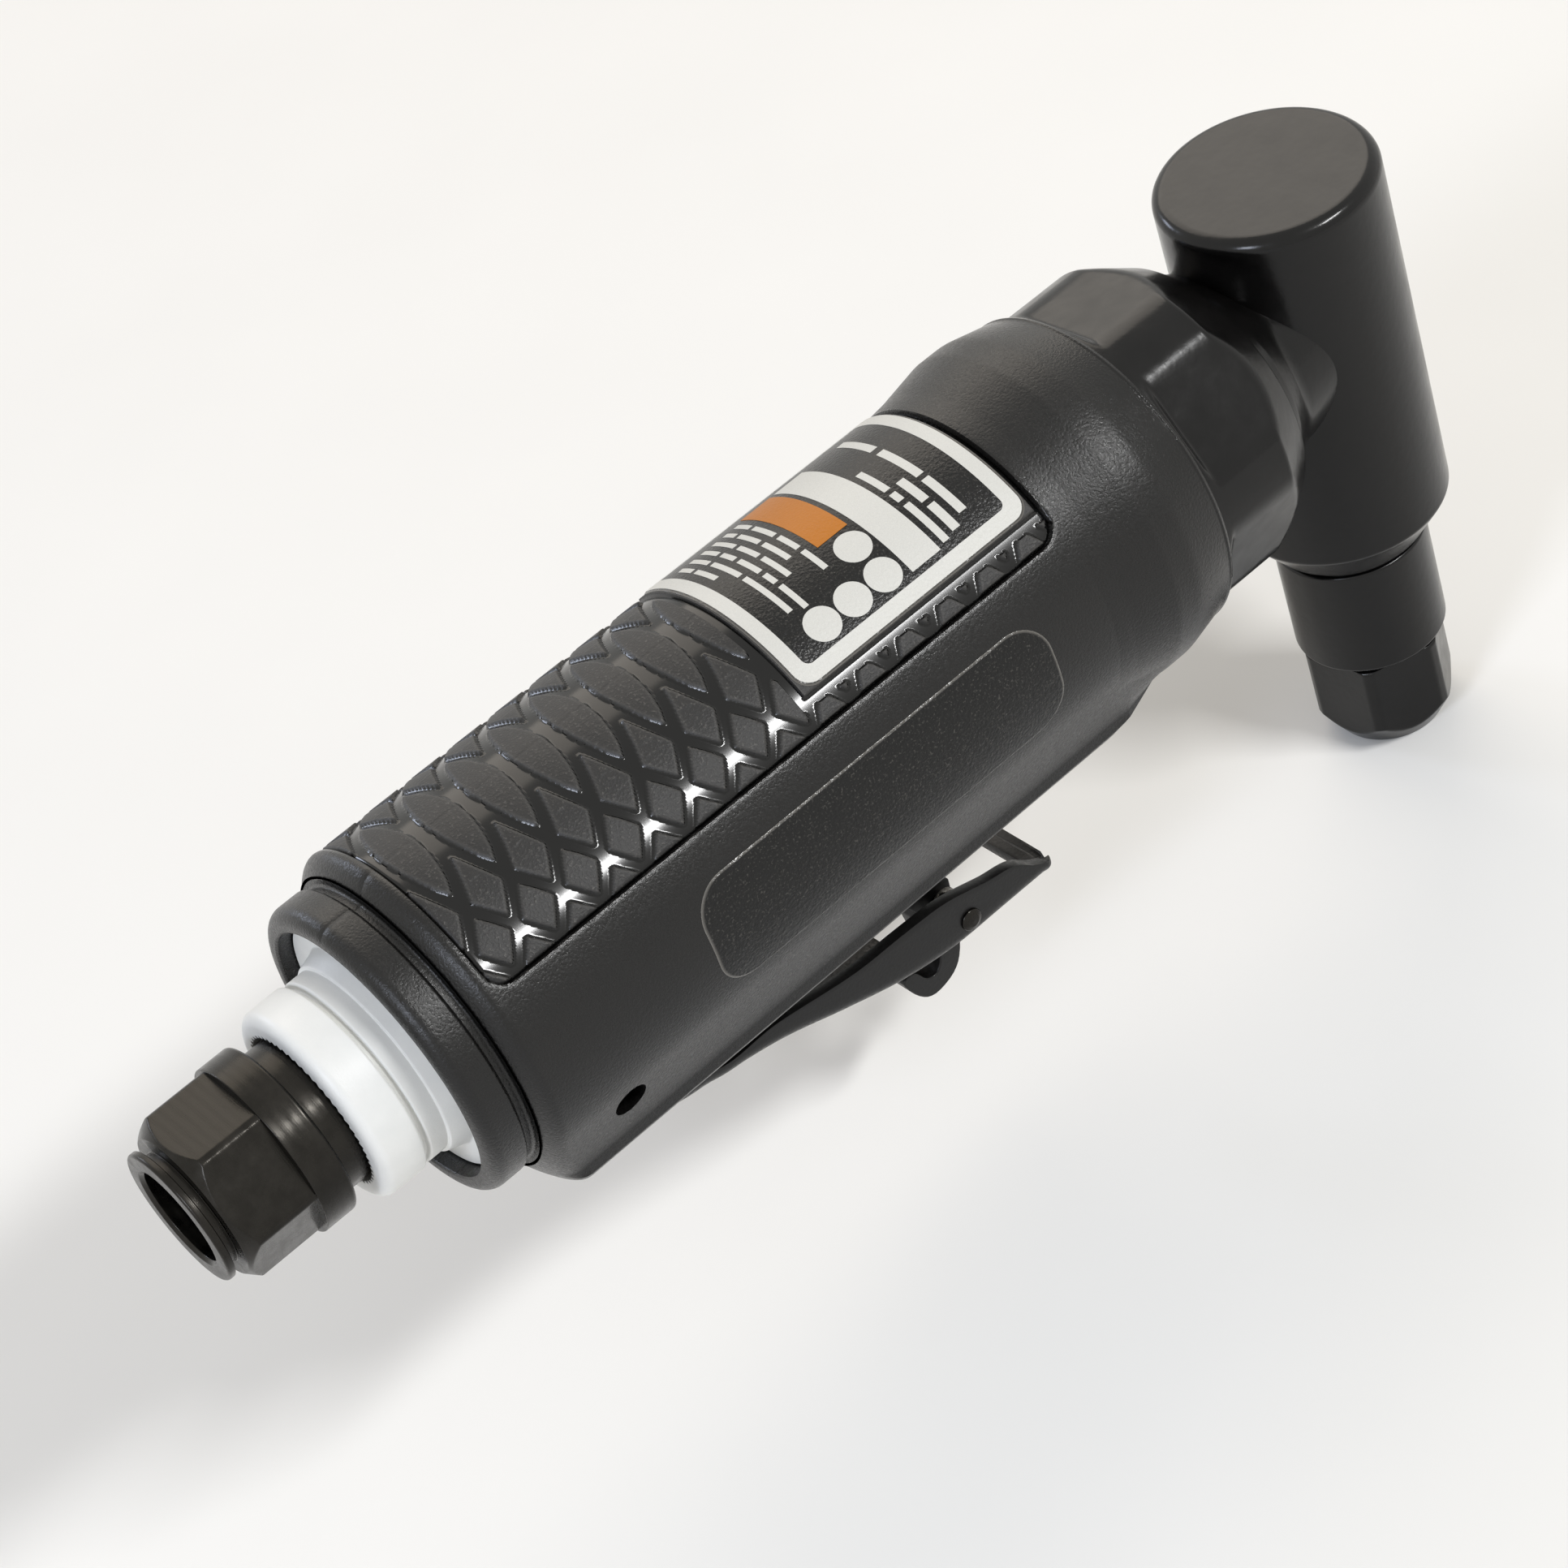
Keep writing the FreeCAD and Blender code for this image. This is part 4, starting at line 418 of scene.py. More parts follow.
# Rating label: black vinyl film on the crown, printed white and amber. Its lettering is left
# bare, so the print is the border, the block, the band, four discs and plain rules.


def divide(points, sides, parts):
    """Points with each side after them cut into its own number of equal parts."""
    step = np.arange(parts.sum()) - np.repeat(np.cumsum(parts) - parts, parts)
    share = (step / np.repeat(parts, parts))[:, None]
    return np.repeat(points, parts, axis=0) + np.repeat(sides, parts, axis=0) * share


def oblong(x_low, x_high, a_low, a_high, corner, count=12):
    """Outline of an oblong on the barrel, along X and round the barrel, with round corners."""
    s_low, s_high = np.radians(a_low) * barrel_r, np.radians(a_high) * barrel_r
    quarter = np.linspace(0, np.pi / 2, count)
    loops = []
    for k, (cx, cs) in enumerate([(x_high, s_high), (x_low, s_high), (x_low, s_low),
                                  (x_high, s_low)]):
        mx = cx - corner * np.sign(cx - (x_low + x_high) / 2)
        ms = cs - corner * np.sign(cs - (s_low + s_high) / 2)
        t = quarter + k * np.pi / 2
        loops.append(np.stack([mx + corner * np.cos(t), ms + corner * np.sin(t)], -1))
    loop = np.concatenate(loops)
    sides = np.roll(loop, -1, axis=0) - loop
    parts = np.maximum(1, (np.linalg.norm(sides, axis=1) / 1.2).astype(int))
    return divide(loop, sides, parts)


def wrap(flat, radius):
    """Points along X and round the barrel, laid on a cylinder of a radius."""
    turn = flat[..., 1] / barrel_r
    return np.stack([flat[..., 0], -radius * np.sin(turn), radius * np.cos(turn)], -1)


def film(name, loop, low, high, material, rings=11, bevel=0.25):
    """A film with a cut edge: rings from the middle to a line inside the outline, down the
    bevel to the outline, round it and back to the middle below."""
    ahead = np.roll(loop, -1, axis=0) - np.roll(loop, 1, axis=0)
    outward = np.stack([ahead[:, 1], -ahead[:, 0]], -1) / np.linalg.norm(ahead, axis=1)[:, None]
    inset = loop - outward * bevel
    middle = loop.mean(axis=0)
    share = np.concatenate([np.linspace(0, 1, rings)[:-1], [0.995, 1]])[:, None, None]
    below = middle + (loop - middle) * np.array([0.6, 0])[:, None, None]
    flat = np.concatenate([middle + (inset - middle) * share, loop[None], loop[None], below])
    height = np.array([high] * (rings + 1) + [high - 0.1, low, low, low])[:, None]
    # Edge weight: 1 on the bevel and the outline, where the vinyl paints a grey highlight
    cut = np.array([0.0] * rings + [0.3, 1, 1, 0, 0])[:, None]
    return skin(name, wrap(flat, height), material, 50,
                {"painted_edge_highlight": np.repeat(cut, len(loop), 1)}, poles=(True, True))


# Vinyl: gloss black film with a fine orange peel and a little dust; its cut edge is painted grey as
# a highlight
vinyl, tree, shader, place = new_material("printed_black_vinyl", IOR=1.47, Specular_IOR_Level=0.35)
peel = add(tree, "TexNoise", {"Vector": place, "Scale": 2.6, "Detail": 2.0, "Roughness": 0.55})
spark = add(tree, "TexNoise", {"Vector": place, "Scale": 4.0, "Detail": 1.0})
dust = add(tree, "MapRange", {"Value": spark, "From Min": 0.6, "From Max": 0.76, "To Min": 0.0,
                              "To Max": 0.5})
tone = add(tree, "Mix", {"Factor": dust, "A": linear("#080808"), "B": linear("#5a5853")},
           data_type="RGBA")
cut = add(tree, "Attribute", attribute_name="painted_edge_highlight").outputs["Fac"]
# Painted highlight: the cut edge is mixed towards a pale grey and made glossier
tone = add(tree, "Mix", {"Factor": cut, "A": tone, "B": linear("#6e6b66")}, data_type="RGBA")
rough = add(tree, "Mix", {"Factor": cut, "A": 0.3, "B": 0.12})
dents = add(tree, "Bump", {"Height": peel, "Strength": 0.5, "Distance": 0.0002})
wire(shader, {"Base Color": tone, "Roughness": rough, "Normal": dents})
label = film("label", oblong(label_rear, label_front, -label_half, label_half, 2.2),
             20.44, 20.62, vinyl)
fit(label, "handle", "label_film", "rating_label")


def ink(name, code):
    """Screen ink: an even colour with the film's own orange peel."""
    material, tree, shader, place = new_material(name, Base_Color=linear(code), Roughness=0.45,
                                                 IOR=1.47, Specular_IOR_Level=0.35)
    peel = add(tree, "TexNoise", {"Vector": place, "Scale": 2.6, "Detail": 2.0})
    speck = add(tree, "TexNoise", {"Vector": place, "Scale": 9.0, "Detail": 2.0})
    shade = add(tree, "MapRange", {"Value": speck, "From Min": 0.3, "From Max": 0.7, "To Min": 0.9,
                                   "To Max": 1.0})
    tone = add(tree, "VectorMath", {0: linear(code)[:3], 3: shade}, operation="SCALE")
    dents = add(tree, "Bump", {"Height": peel, "Strength": 0.3, "Distance": 0.0002})
    wire(shader, {"Base Color": tone, "Normal": dents})
    return material


def even(loop, count=240):
    """The outline again, as a number of points at equal shares of its own point count."""
    share = np.linspace(0, len(loop), count, endpoint=False)
    closed = np.concatenate([loop, loop[:1]])
    return np.stack([np.interp(share, np.arange(len(closed)), closed[:, k]) for k in (0, 1)], -1)


def patch(corners, low, high, cells=8):
    """Closed thin patch over four corners (x, angle): a sheet folded round its edge."""
    c = np.array([(x, math.radians(a) * barrel_r) for x, a in corners])
    s = np.linspace(0, 1, cells + 1)
    u, v = np.meshgrid(s, s, indexing="ij")
    flat = (c[0] * ((1 - u) * (1 - v))[..., None] + c[1] * (u * (1 - v))[..., None]
            + c[2] * (u * v)[..., None] + c[3] * ((1 - u) * v)[..., None])
    top, base = wrap(flat, high), wrap(flat, low)
    ends = np.concatenate([top, base[:, ::-1]], axis=1)
    rear, front = ends[:1].copy(), ends[-1:].copy()
    rear[:, :cells + 1] = base[:1]
    front[:, :cells + 1] = base[-1:]
    return np.concatenate([rear, ends, front])


def disc(x, angle, radius):
    """Closed thin disc on the barrel: rings from its middle out and back below."""
    share = np.array([0, 0.35, 0.7, 0.97, 1, 1, 0.5, 0])[:, None, None]
    height = np.array([ink_high] * 5 + [ink_low] * 3)[:, None]
    t = np.linspace(0, 2 * np.pi, 48, endpoint=False)
    ring = radius * np.stack([np.cos(t), np.sin(t)], -1)
    return wrap(np.array([x, math.radians(angle) * barrel_r]) + share * ring, height)


def join(name, grids, material, angle=38.0, **how):
    """One piece of several closed grids. Points that lie on one another become one point."""
    points, faces, start = [], [], 0
    for grid in grids:
        part, cells, _ = weave(grid, **how)
        points.append(part)
        faces += [[start + k for k in cell] for cell in cells]
        start += len(part)
    piece = solid(name, np.concatenate(points), faces, material, angle)
    made = bmesh.new()
    made.from_mesh(piece.data)
    bmesh.ops.remove_doubles(made, verts=made.verts, dist=1e-7)
    made.to_mesh(piece.data)
    made.free()
    return piece


# Border: a closed band between two outlines, round the outer one and back inside
ink_low, ink_high = 20.60, 20.65
white_ink = ink("white_screen_ink", "#d6d5cf")
amber_ink = ink("amber_screen_ink", "#b86f14")
outer = even(oblong(label_rear + 0.3, label_front - 0.3, -label_half + 0.8, label_half - 0.8, 2.0))
inner = even(oblong(label_rear + 2.1, label_front - 2.1, -label_half + 5.8, label_half - 5.8, 0.9))
band = [wrap(outer, ink_low), wrap(outer, ink_high), wrap(inner, ink_high),
        wrap(inner, ink_low), wrap(outer, ink_low)]
border = skin("label_border", np.stack(band), white_ink, 50, loop=True)
fit(border, "handle", "label_film")
# White band and rules: a rule is its x, its two end angles and its width
marks = [patch([(-66.7, -31), (-62.5, -31), (-62.4, 35), (-66.5, 35)], ink_low, ink_high, 24)]
rules = [(-57.4, -28, -9, 1.1), (-57.4, -6, 12, 1.1), (-57.4, 14, 30, 1.1),
         (-59.4, 9, 20, 1.1), (-59.4, 22, 33, 1.1),
         (-61.2, -4, 9, 0.9), (-61.2, 11, 15, 0.9), (-61.2, 17, 34, 0.9)]
for row, ends in enumerate([(-28, -19, -17, -6, -4, 5, 7, 17), (-28, -21, -19, -8, -6, 6),
                            (-28, -15, -13, -3, -1, 11),
                            (-28, -18, -16, -9, -7, 3, 5, 10, 12, 23),
                            (-28, -17, -15, -1, 1, 21), (-28, -20, -18, -7)]):
    rules += [(-72.9 - row * 1.62, a, b, 0.72) for a, b in zip(ends[::2], ends[1::2])]
marks += [patch([(x - w / 2, a), (x + w / 2, a), (x + w / 2, b), (x - w / 2, b)],
                ink_low, ink_high - 0.01) for x, a, b, w in rules]
print_white = join("label_rules", marks, white_ink, 50)
fit(print_white, "handle", "label_film")
block = join("label_block", [patch([(-71.6, -31), (-67.3, -31), (-67.3, 9.6), (-71.6, 9.6)],
                                   ink_low, ink_high, 20)], amber_ink, 50)
fit(block, "handle", "label_film")
discs = [disc(x, a, 2.08) for x, a in ((-69.0, 17), (-69.1, 30), (-73.5, 30.1), (-77.9, 30.1))]
discs = join("label_discs", discs, white_ink, 50, poles=(True, True))
fit(discs, "handle", "label_film")

# Side plate: the same black vinyl film, cut to an oblong with round corners. It is stuck on
# the handle's side and left bare.
side_film = film("side_film", oblong(-108.2, -58.2, 67.2, 106.0, 4.6), 20.46, 20.63, vinyl)
fit(side_film, "handle", "plate_film", "side_plate")

# Exhaust deflector: ring injection moulded in white acetal that turns on its flange in the
# rear bore. A row of small vents round the tube leaves its lip notched.


def lathe(line, axis, columns=192, shape=None):
    """Grid of a line turned about the handle (axis 0) or the spindle (axis 2): the point at
    distance r and angle t from the crown, or from X, lies at r cos t and r sin t."""
    t = np.linspace(0, 2 * np.pi, columns, endpoint=False)[None]
    along, radius = line[:, :1] + 0 * t, line[:, 1:] + 0 * t
    if shape:
        along, radius = shape(along, radius, t)
    if axis == 0:
        return np.stack([along, -radius * np.sin(t), radius * np.cos(t)], -1)
    return np.stack([radius * np.cos(t), radius * np.sin(t), along], -1)


def notched(along, radius, t):
    """Wavy lip: its points move out by the square of the sine of 28 turns, 56 waves."""
    at_lip = (radius < 9.5) & (along < -145.0)
    return along, np.where(at_lip, radius + np.abs(np.sin(t * 28)) ** 2 * 0.42, radius)


# Acetal: dense white plastic with a soft shine and faint clouds
acetal, tree, shader, place = new_material("moulded_white_acetal", Roughness=0.42, IOR=1.48)
mottle(shader, place, 0.22, 4.0, "#dbdcda", "#ededea")
grain = add(tree, "TexNoise", {"Vector": place, "Scale": 4.0, "Detail": 2.0})
dents = add(tree, "Bump", {"Height": grain, "Strength": 0.15, "Distance": 0.0001})
wire(shader, {"Normal": dents})
line = bend([(-135.3, 9.3), (-135.3, 15.7, 0.2), (-136.8, 15.7, 0.25), (-136.8, 12.8, 0.3),
             (-139.2, 12.05, 0.25), (-139.2, 11.7, 0.1), (-141.5, 11.7, 0.3),
             (-141.5, 10.9, 0.2), (-142.2, 10.9, 0.2), (-142.2, 11.9, 0.35),
             (-147.5, 11.9, 1.3), (-147.5, 9.2, 0.12), (-145.6, 9.2), (-145.6, 9.3)])
line = np.concatenate([line, line[:1]])
deflector = skin("deflector", lathe(line, 0, 560, notched), acetal, loop=True)
fit(deflector, "handle", "white_plastic", "exhaust_deflector")

# Exhaust silencer: a ring of needled grey felt inside the deflector, which quiets the air.
# It keeps the frame's shape and takes a finish.
felt, tree, shader, place = new_material("needled_grey_felt", Roughness=0.95)
mottle(shader, place, 5.0, 6.0, "#4a4946", "#85827c")
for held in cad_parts["exhaust_silencer"].material_slots:
    held.material = felt

# Inlet bushing: turned from round steel bar, six flats milled on it, then blackened. It
# carries the pipe thread and is screwed into the housing.


def hexagon(flat, low, high, turned=0.0, width=0.12, run=0.01):
    """Six flats between two stations: distance becomes the smaller of itself and the
    flat's distance over the cosine of the angle from its middle. The flats rise out of
    the round over a run behind the first station."""
    def shape(along, radius, t):
        off = (t - math.radians(turned) + np.pi / 6) % (np.pi / 3) - np.pi / 6
        out = np.clip((low + run - along) / run, 0, 1) ** 2 * flat * 0.12
        cut = soft_min(radius, (flat + out) / np.cos(off), width)
        on_flats = (along > low) & (along < high) & (radius > flat * 0.86)
        return along, np.where(on_flats, cut, radius)
    return shape


def finer(line, low, high, step):
    """The line with more points wherever a run between two stations is longer than a step."""
    sides = np.diff(line, axis=0)
    x = np.sort(np.stack([line[:-1, 0], line[1:, 0]]), axis=0)
    parts = np.maximum(1, np.ceil(np.linalg.norm(sides, axis=1) / step)).astype(int)
    parts = np.where((low <= x[0]) & (x[1] <= high), parts, 1)
    return np.concatenate([divide(line[:-1], sides, parts), line[-1:]])


# Blackened steel: brown-black oxide in clouds, over the lathe's feed marks and fine lines
blackened, tree, shader, place = new_material("blackened_turned_steel", Metallic=1.0,
                                              Roughness=0.34)
cloud = mottle(shader, place, 0.35, 5.0, "#262523", "#383633", roughness=0.65)
rough = add(tree, "MapRange", {"Value": cloud, "From Min": 0.3, "From Max": 0.7, "To Min": 0.2,
                               "To Max": 0.36})
along_bar = add(tree, "VectorMath", {0: place, 1: (9.0, 0.4, 0.4)}, operation="MULTIPLY")
lines = add(tree, "TexNoise", {"Vector": along_bar, "Scale": 1.0, "Detail": 3.0})
feed = add(tree, "TexWave", {"Vector": place, "Scale": 0.27, "Distortion": 1.2, "Detail": 2.0})
marks = add(tree, "Math", {0: feed.outputs["Fac"], 1: lines}, operation="ADD")
dents = add(tree, "Bump", {"Height": marks, "Strength": 0.22, "Distance": 0.00005})
wire(shader, {"Roughness": rough, "Normal": dents})
line = bend([(-151.7, 0), (-151.7, 5.7), (-164.8, 5.7, 0.1), (-165.2, 6.1, 0.15),
             (-165.2, 8.1, 0.35), (-164.3, 8.1, 0.15), (-164.3, 7.0, 0.1), (-163.2, 7.0, 0.1),
             (-163.2, 8.7, 0.2), (-161.7, 10.2, 0.4), (-154.33, 10.2), (-154.3, 10.22),
             (-154.3, 10.5, 0.12), (-150.3, 10.5, 0.45), (-150.3, 8.8, 0.2), (-140.0, 8.8),
             (-140.0, 0)])
line = finer(line, -163.3, -154.3, 0.16)
bushing = skin("bushing", lathe(line, 0, 480, hexagon(9.0, -163.4, -154.32)), blackened, 50,
               poles=(True, True))
fit(bushing, "handle", "blackened_steel", "inlet_bushing")

# Clamp nut: steel ring with six shallow flats that draws the angle head against the motor
# sleeve. Its gloss black lacquer is sprayed, so that the reflections flow a little.
gloss, tree, shader, place = new_material("gloss_black_lacquered_steel", IOR=1.5,
                                          Specular_IOR_Level=0.29)
cloud = mottle(shader, place, 0.3, 4.0, "#070707", "#0d0c0c")
rough = add(tree, "MapRange", {"Value": cloud, "From Min": 0.3, "From Max": 0.7, "To Min": 0.16,
                               "To Max": 0.26})
flow = add(tree, "TexNoise", {"Vector": place, "Scale": 0.9, "Detail": 2.0})
dents = add(tree, "Bump", {"Height": flow, "Strength": 0.1, "Distance": 0.0002})
wire(shader, {"Roughness": rough, "Normal": dents})
line = bend([(-32.38, 17.0), (-32.38, 19.7, 0.3), (-21.4, 19.7, 1.0), (-16.1, 16.3, 0.5),
             (-16.1, 15.3, 0.2), (-21.0, 15.3), (-21.0, 17.0)])
line = finer(np.concatenate([line, line[:1]]), -33, -16, 0.3)
flats = hexagon(18.5, -32.2, -16.0, 54.0, 0.5, 1.6)
clamp = skin("clamp", lathe(line, 0, 480, flats), gloss, 50, loop=True)
fit(clamp, "handle", "black_gloss", "clamp_nut")

# Angle head: cast aluminium, turned and gloss black. Its neck enters the clamp nut, and the
# spindle runs down through the head.
line = bend([(-22.0, 0), (-22.0, 15.0), (-16.0, 15.0), (-14.3, 14.2, 3), (-11.5, 12.5, 4),
             (-5.0, 11.6), (0.0, 11.5), (0.0, 0)], 5)
neck = skin("neck", lathe(line, 0, 160), gloss, poles=(True, True))
fit(neck, "handle", "black_gloss", "angle_head")
line = bend([(-32.3, 0), (-32.3, 9.75, 0.3), (-27.6, 13.05, 0.9), (19.8, 13.05, 1.6), (19.8, 0)], 7)
head = skin("head", lathe(line, 2, 256), gloss, poles=(True, True))
fit(head, "handle", "black_gloss", "angle_head")

# Bearing cap: turned steel sleeve in the same gloss black, screwed up into the head. It
# holds the spindle's lower bearings.
line = bend([(-48.6, 0), (-48.6, 9.3, 0.5), (-33.2, 9.3, 0.4), (-33.2, 8.9), (-32.1, 8.9),
             (-32.1, 0)])
cap = skin("cap", lathe(line, 2, 192), gloss, poles=(True, True))
fit(cap, "handle", "black_gloss", "bearing_cap")

# Collet nut: hexagon steel with a coned end, gloss black. Screwed onto the spindle, it
# closes the collet on the shank.
line = bend([(-49.2, 6.4), (-49.2, 8.9, 0.5), (-58.9, 8.9, 0.3), (-62.5, 6.7, 0.3),
             (-62.5, 4.9, 0.15), (-60.3, 4.9), (-59.0, 6.0), (-49.2, 6.0)])
line = finer(np.concatenate([line, line[:1]]), -62.6, -49.1, 0.25)
nut = skin("nut", lathe(line, 2, 384, hexagon(8.0, -63, -49, 10.0)), gloss, 50, loop=True)
fit(nut, "spindle", "black_gloss", "collet_nut")

# Collet: hardened steel, ground bright. Its three jaws are parted by slots and stand flush
# with the nut's mouth.
bright, tree, shader, place = new_material("ground_bright_steel", Base_Color=linear("#a8a6a2"),
                                           Metallic=1.0, Roughness=0.28)
lines = add(tree, "TexNoise", {"Vector": place, "Scale": 2.0, "Detail": 4.0})
rough = add(tree, "MapRange", {"Value": lines, "From Min": 0.3, "From Max": 0.7, "To Min": 0.2,
                               "To Max": 0.4})
wire(shader, {"Roughness": rough})
section = bend([(-62.45, 3.175), (-62.45, 3.4), (-62.45, 4.5, 0.2), (-60.0, 4.5),
                (-58.8, 5.5), (-56.8, 5.5), (-55.6, 4.6), (-44.0, 4.6), (-44.0, 3.175),
                (-62.25, 3.175, 0.1), (-62.45, 3.4)])[1:-1]
slit = 0.45 / section[:, 1]
jaws = []
for start in np.radians([0, 120, 240]):
    t = start + slit + np.linspace(0, 1, 25)[:, None] * (math.radians(120) - 2 * slit)
    ring = np.stack([section[:, 1] * np.cos(t), section[:, 1] * np.sin(t),
                     section[:, 0] + 0 * t], -1)
    ends = [np.repeat(ring[i].mean(axis=0)[None, None], len(section), 1) for i in (0, -1)]
    jaws.append(np.concatenate([ends[0], ring, ends[1]]))
collet = join("collet_jaws", jaws, bright, poles=(True, True))
fit(collet, "spindle", "collet_steel", "collet")

# Throttle lever: pressed from steel sheet into a channel and painted black, with a window
# for the lock lever. It hangs on a pin in the lug's slot.

# Powder coat: matt black with a fine grain, worn to small differences of shine
paint, tree, shader, place = new_material("black_powder_coated_sheet", IOR=1.5,
                                          Specular_IOR_Level=0.32)
mottle(shader, place, 0.25, 4.0, "#0c0c0c", "#151414")
grain = add(tree, "TexNoise", {"Vector": place, "Scale": 2.4, "Detail": 3.0})
rough = add(tree, "MapRange", {"Value": grain, "From Min": 0.35, "From Max": 0.65, "To Min": 0.28,
                               "To Max": 0.45})
dents = add(tree, "Bump", {"Height": grain, "Strength": 0.2, "Distance": 0.0001})
wire(shader, {"Roughness": rough, "Normal": dents})

# Pad line and wall edge, side by side: (x, z) below and (x, z) above at each station
stations = np.array([
    (-126.0, -18.5, -125.2, -11.5), (-126.0, -21.8, -124.4, -8.9),
    (-125.2, -23.6, -122.0, -7.8), (-121.5, -24.1, -119.6, -8.9),
    (-117.5, -24.3, -118.6, -12.5), (-116.1, -25.3, -117.4, -17.0),
    (-114.0, -26.7, -113.5, -21.6), (-108.6, -27.9, -108.4, -25.6),
    (-98.7, -30.0, -98.5, -26.6), (-90.0, -33.0, -87.6, -28.5), (-82.4, -35.4, -80.6, -28.8),
    (-80.0, -35.95, -78.5, -28.9), (-73.0, -36.9, -73.0, -29.5), (-68.0, -36.95, -68.0, -31.0),
    (-63.0, -36.98, -63.0, -32.5), (-61.0, -37.0, -61.2, -34.1),
    (-59.4, -36.98, -59.5, -35.1), (-58.4, -36.9, -58.5, -35.3)])
pad_half, bend_r, end_r = 8.0, 1.8, 1.1
window_rear, window_front, window_half = -80, -61, 6.1
knots = np.concatenate([[0], np.cumsum(np.linalg.norm(np.diff(stations[:, :2], axis=0), axis=1))])
fine = np.unique(np.concatenate([np.arange(0, knots[-1], 0.6), knots, knots[-1] - np.array(
    [0.05, 0.15, 0.3, 0.5, 0.75, 1.0, 1.3])]))


def smooth_line(at, knots, values):
    """Curve through knots by cubic steps whose slopes are the mean of both neighbours'."""
    slope = np.gradient(values, knots)
    i = np.clip(np.searchsorted(knots, at, side="right") - 1, 0, len(knots) - 2)
    width = knots[i + 1] - knots[i]
    s = (at - knots[i]) / width
    return ((2 * s ** 3 - 3 * s ** 2 + 1) * values[i] + (s ** 3 - 2 * s ** 2 + s) * width * slope[i]
            + (3 * s ** 2 - 2 * s ** 3) * values[i + 1] + (s ** 3 - s ** 2) * width * slope[i + 1])


# Across: up one wall, round its bend, over the pad and the same back; the end is rounded
low_x, low_z, high_x, high_z = (smooth_line(fine, knots, stations[:, k]) for k in range(4))
tall = np.hypot(high_x - low_x, high_z - low_z)[:, None]
up = np.stack([high_x - low_x, high_z - low_z], -1) / tall
corner = np.minimum(bend_r, tall * 0.8)
bow = np.radians(np.linspace(0, 90, 7))[None]
half_y = np.concatenate([np.full((len(fine), 5), pad_half), pad_half - corner * (1 - np.cos(bow)),
                         np.tile([[4.0, 2.0]], (len(fine), 1))], 1)
half_h = np.concatenate([tall + (corner - tall) * (np.arange(5) / 5)[None],
                         corner * (1 - np.sin(bow)), np.zeros((len(fine), 2))], 1)
to_end = np.clip((fine - knots[-1] + end_r) / end_r, 0, 1)[:, None]
half_y = half_y * (1 - (1 - np.sqrt(1 - 0.98 * to_end ** 2)) * end_r / pad_half)
ridge = np.zeros((len(fine), 1))
sheet_y = np.concatenate([-half_y, ridge, half_y[:, ::-1]], 1)
sheet_h = np.concatenate([half_h, ridge, half_h[:, ::-1]], 1)
channel = np.stack([low_x[:, None] + up[:, :1] * sheet_h, sheet_y,
                    low_z[:, None] + up[:, 1:] * sheet_h], -1)
cell_x, cell_y = (low_x[1:] + low_x[:-1]) / 2, (sheet_y[:-1, 1:] + sheet_y[:-1, :-1]) / 2
window = ((cell_x > window_rear) & (cell_x < window_front))[:, None]
window = window & (np.abs(cell_y) < window_half)
lever = skin("lever", channel, paint, 40, around=False, keep=~window)
if lever.data.polygons[0].normal.y > 0:
    lever.data.flip_normals()
sheet = lever.modifiers.new("sheet", "SOLIDIFY")
sheet.thickness, sheet.offset, sheet.use_even_offset = 0.0015, -1, True
edges = lever.modifiers.new("edges", "BEVEL")
edges.width, edges.segments, edges.angle_limit = 0.0003, 2, math.radians(50)
fit(lever, "lever", "lever_black", "throttle_lever")

# Lock lever: a hooked steel plate, cut out and painted as the lever is, on a rivet through
# the channel. Its spring holds the hook forward, so no squeeze comes by chance.

lock_x, lock_z, tip_lean = -71.4, -34.0, math.radians(35)
arm_length, arm_half, tip_r, plate_half = 12.4, 2.6, 1.4, 2.5
arm = np.array([-math.sin(tip_lean), math.cos(tip_lean)]) * arm_length
side = np.array([math.cos(tip_lean), math.sin(tip_lean)])
t = np.radians(np.linspace(0, 180, 13))[:, None]
tip = arm + tip_r * (np.cos(t) * side + np.sin(t) * arm / arm_length)
hook = np.array([(-2.6, -2.5), (-2.2, -7.0), (-3.2, -9.2), (-4.8, -9.0), (-6.2, -6.9),
                 (-8.0, -7.2), (-6.5, -10.6), (-4.4, -12.0), (-1.2, -11.2), (0.6, -8.8),
                 (1.8, -4.0)])
steps = np.arange(0, len(hook) - 0.9, 0.25)
hook = np.stack([smooth_line(steps, np.arange(len(hook)), hook[:, k]) for k in (0, 1)], -1)
# The plate is its outline twice, half its thickness to each side, with walls between
plate = np.concatenate([tip, [-side * arm_half], hook, [side * arm_half]]) + [lock_x, lock_z]
count = len(plate)
points = np.concatenate([np.insert(plate, 1, y, axis=1) for y in (-plate_half, plate_half)])
i = np.arange(count)
after = (i + 1) % count
faces = [i.tolist(), (i[::-1] + count).tolist()]
faces += np.stack([i, i + count, after + count, after], -1).tolist()
lock = solid("lock", points, faces, paint, 30)
if lock.data.polygons[0].normal.y > 0:
    lock.data.flip_normals()
edges = lock.modifiers.new("edges", "BEVEL")
edges.width, edges.segments, edges.angle_limit = 0.00045, 3, math.radians(20)
fit(lock, "lock", "lever_black", "lock_lever")
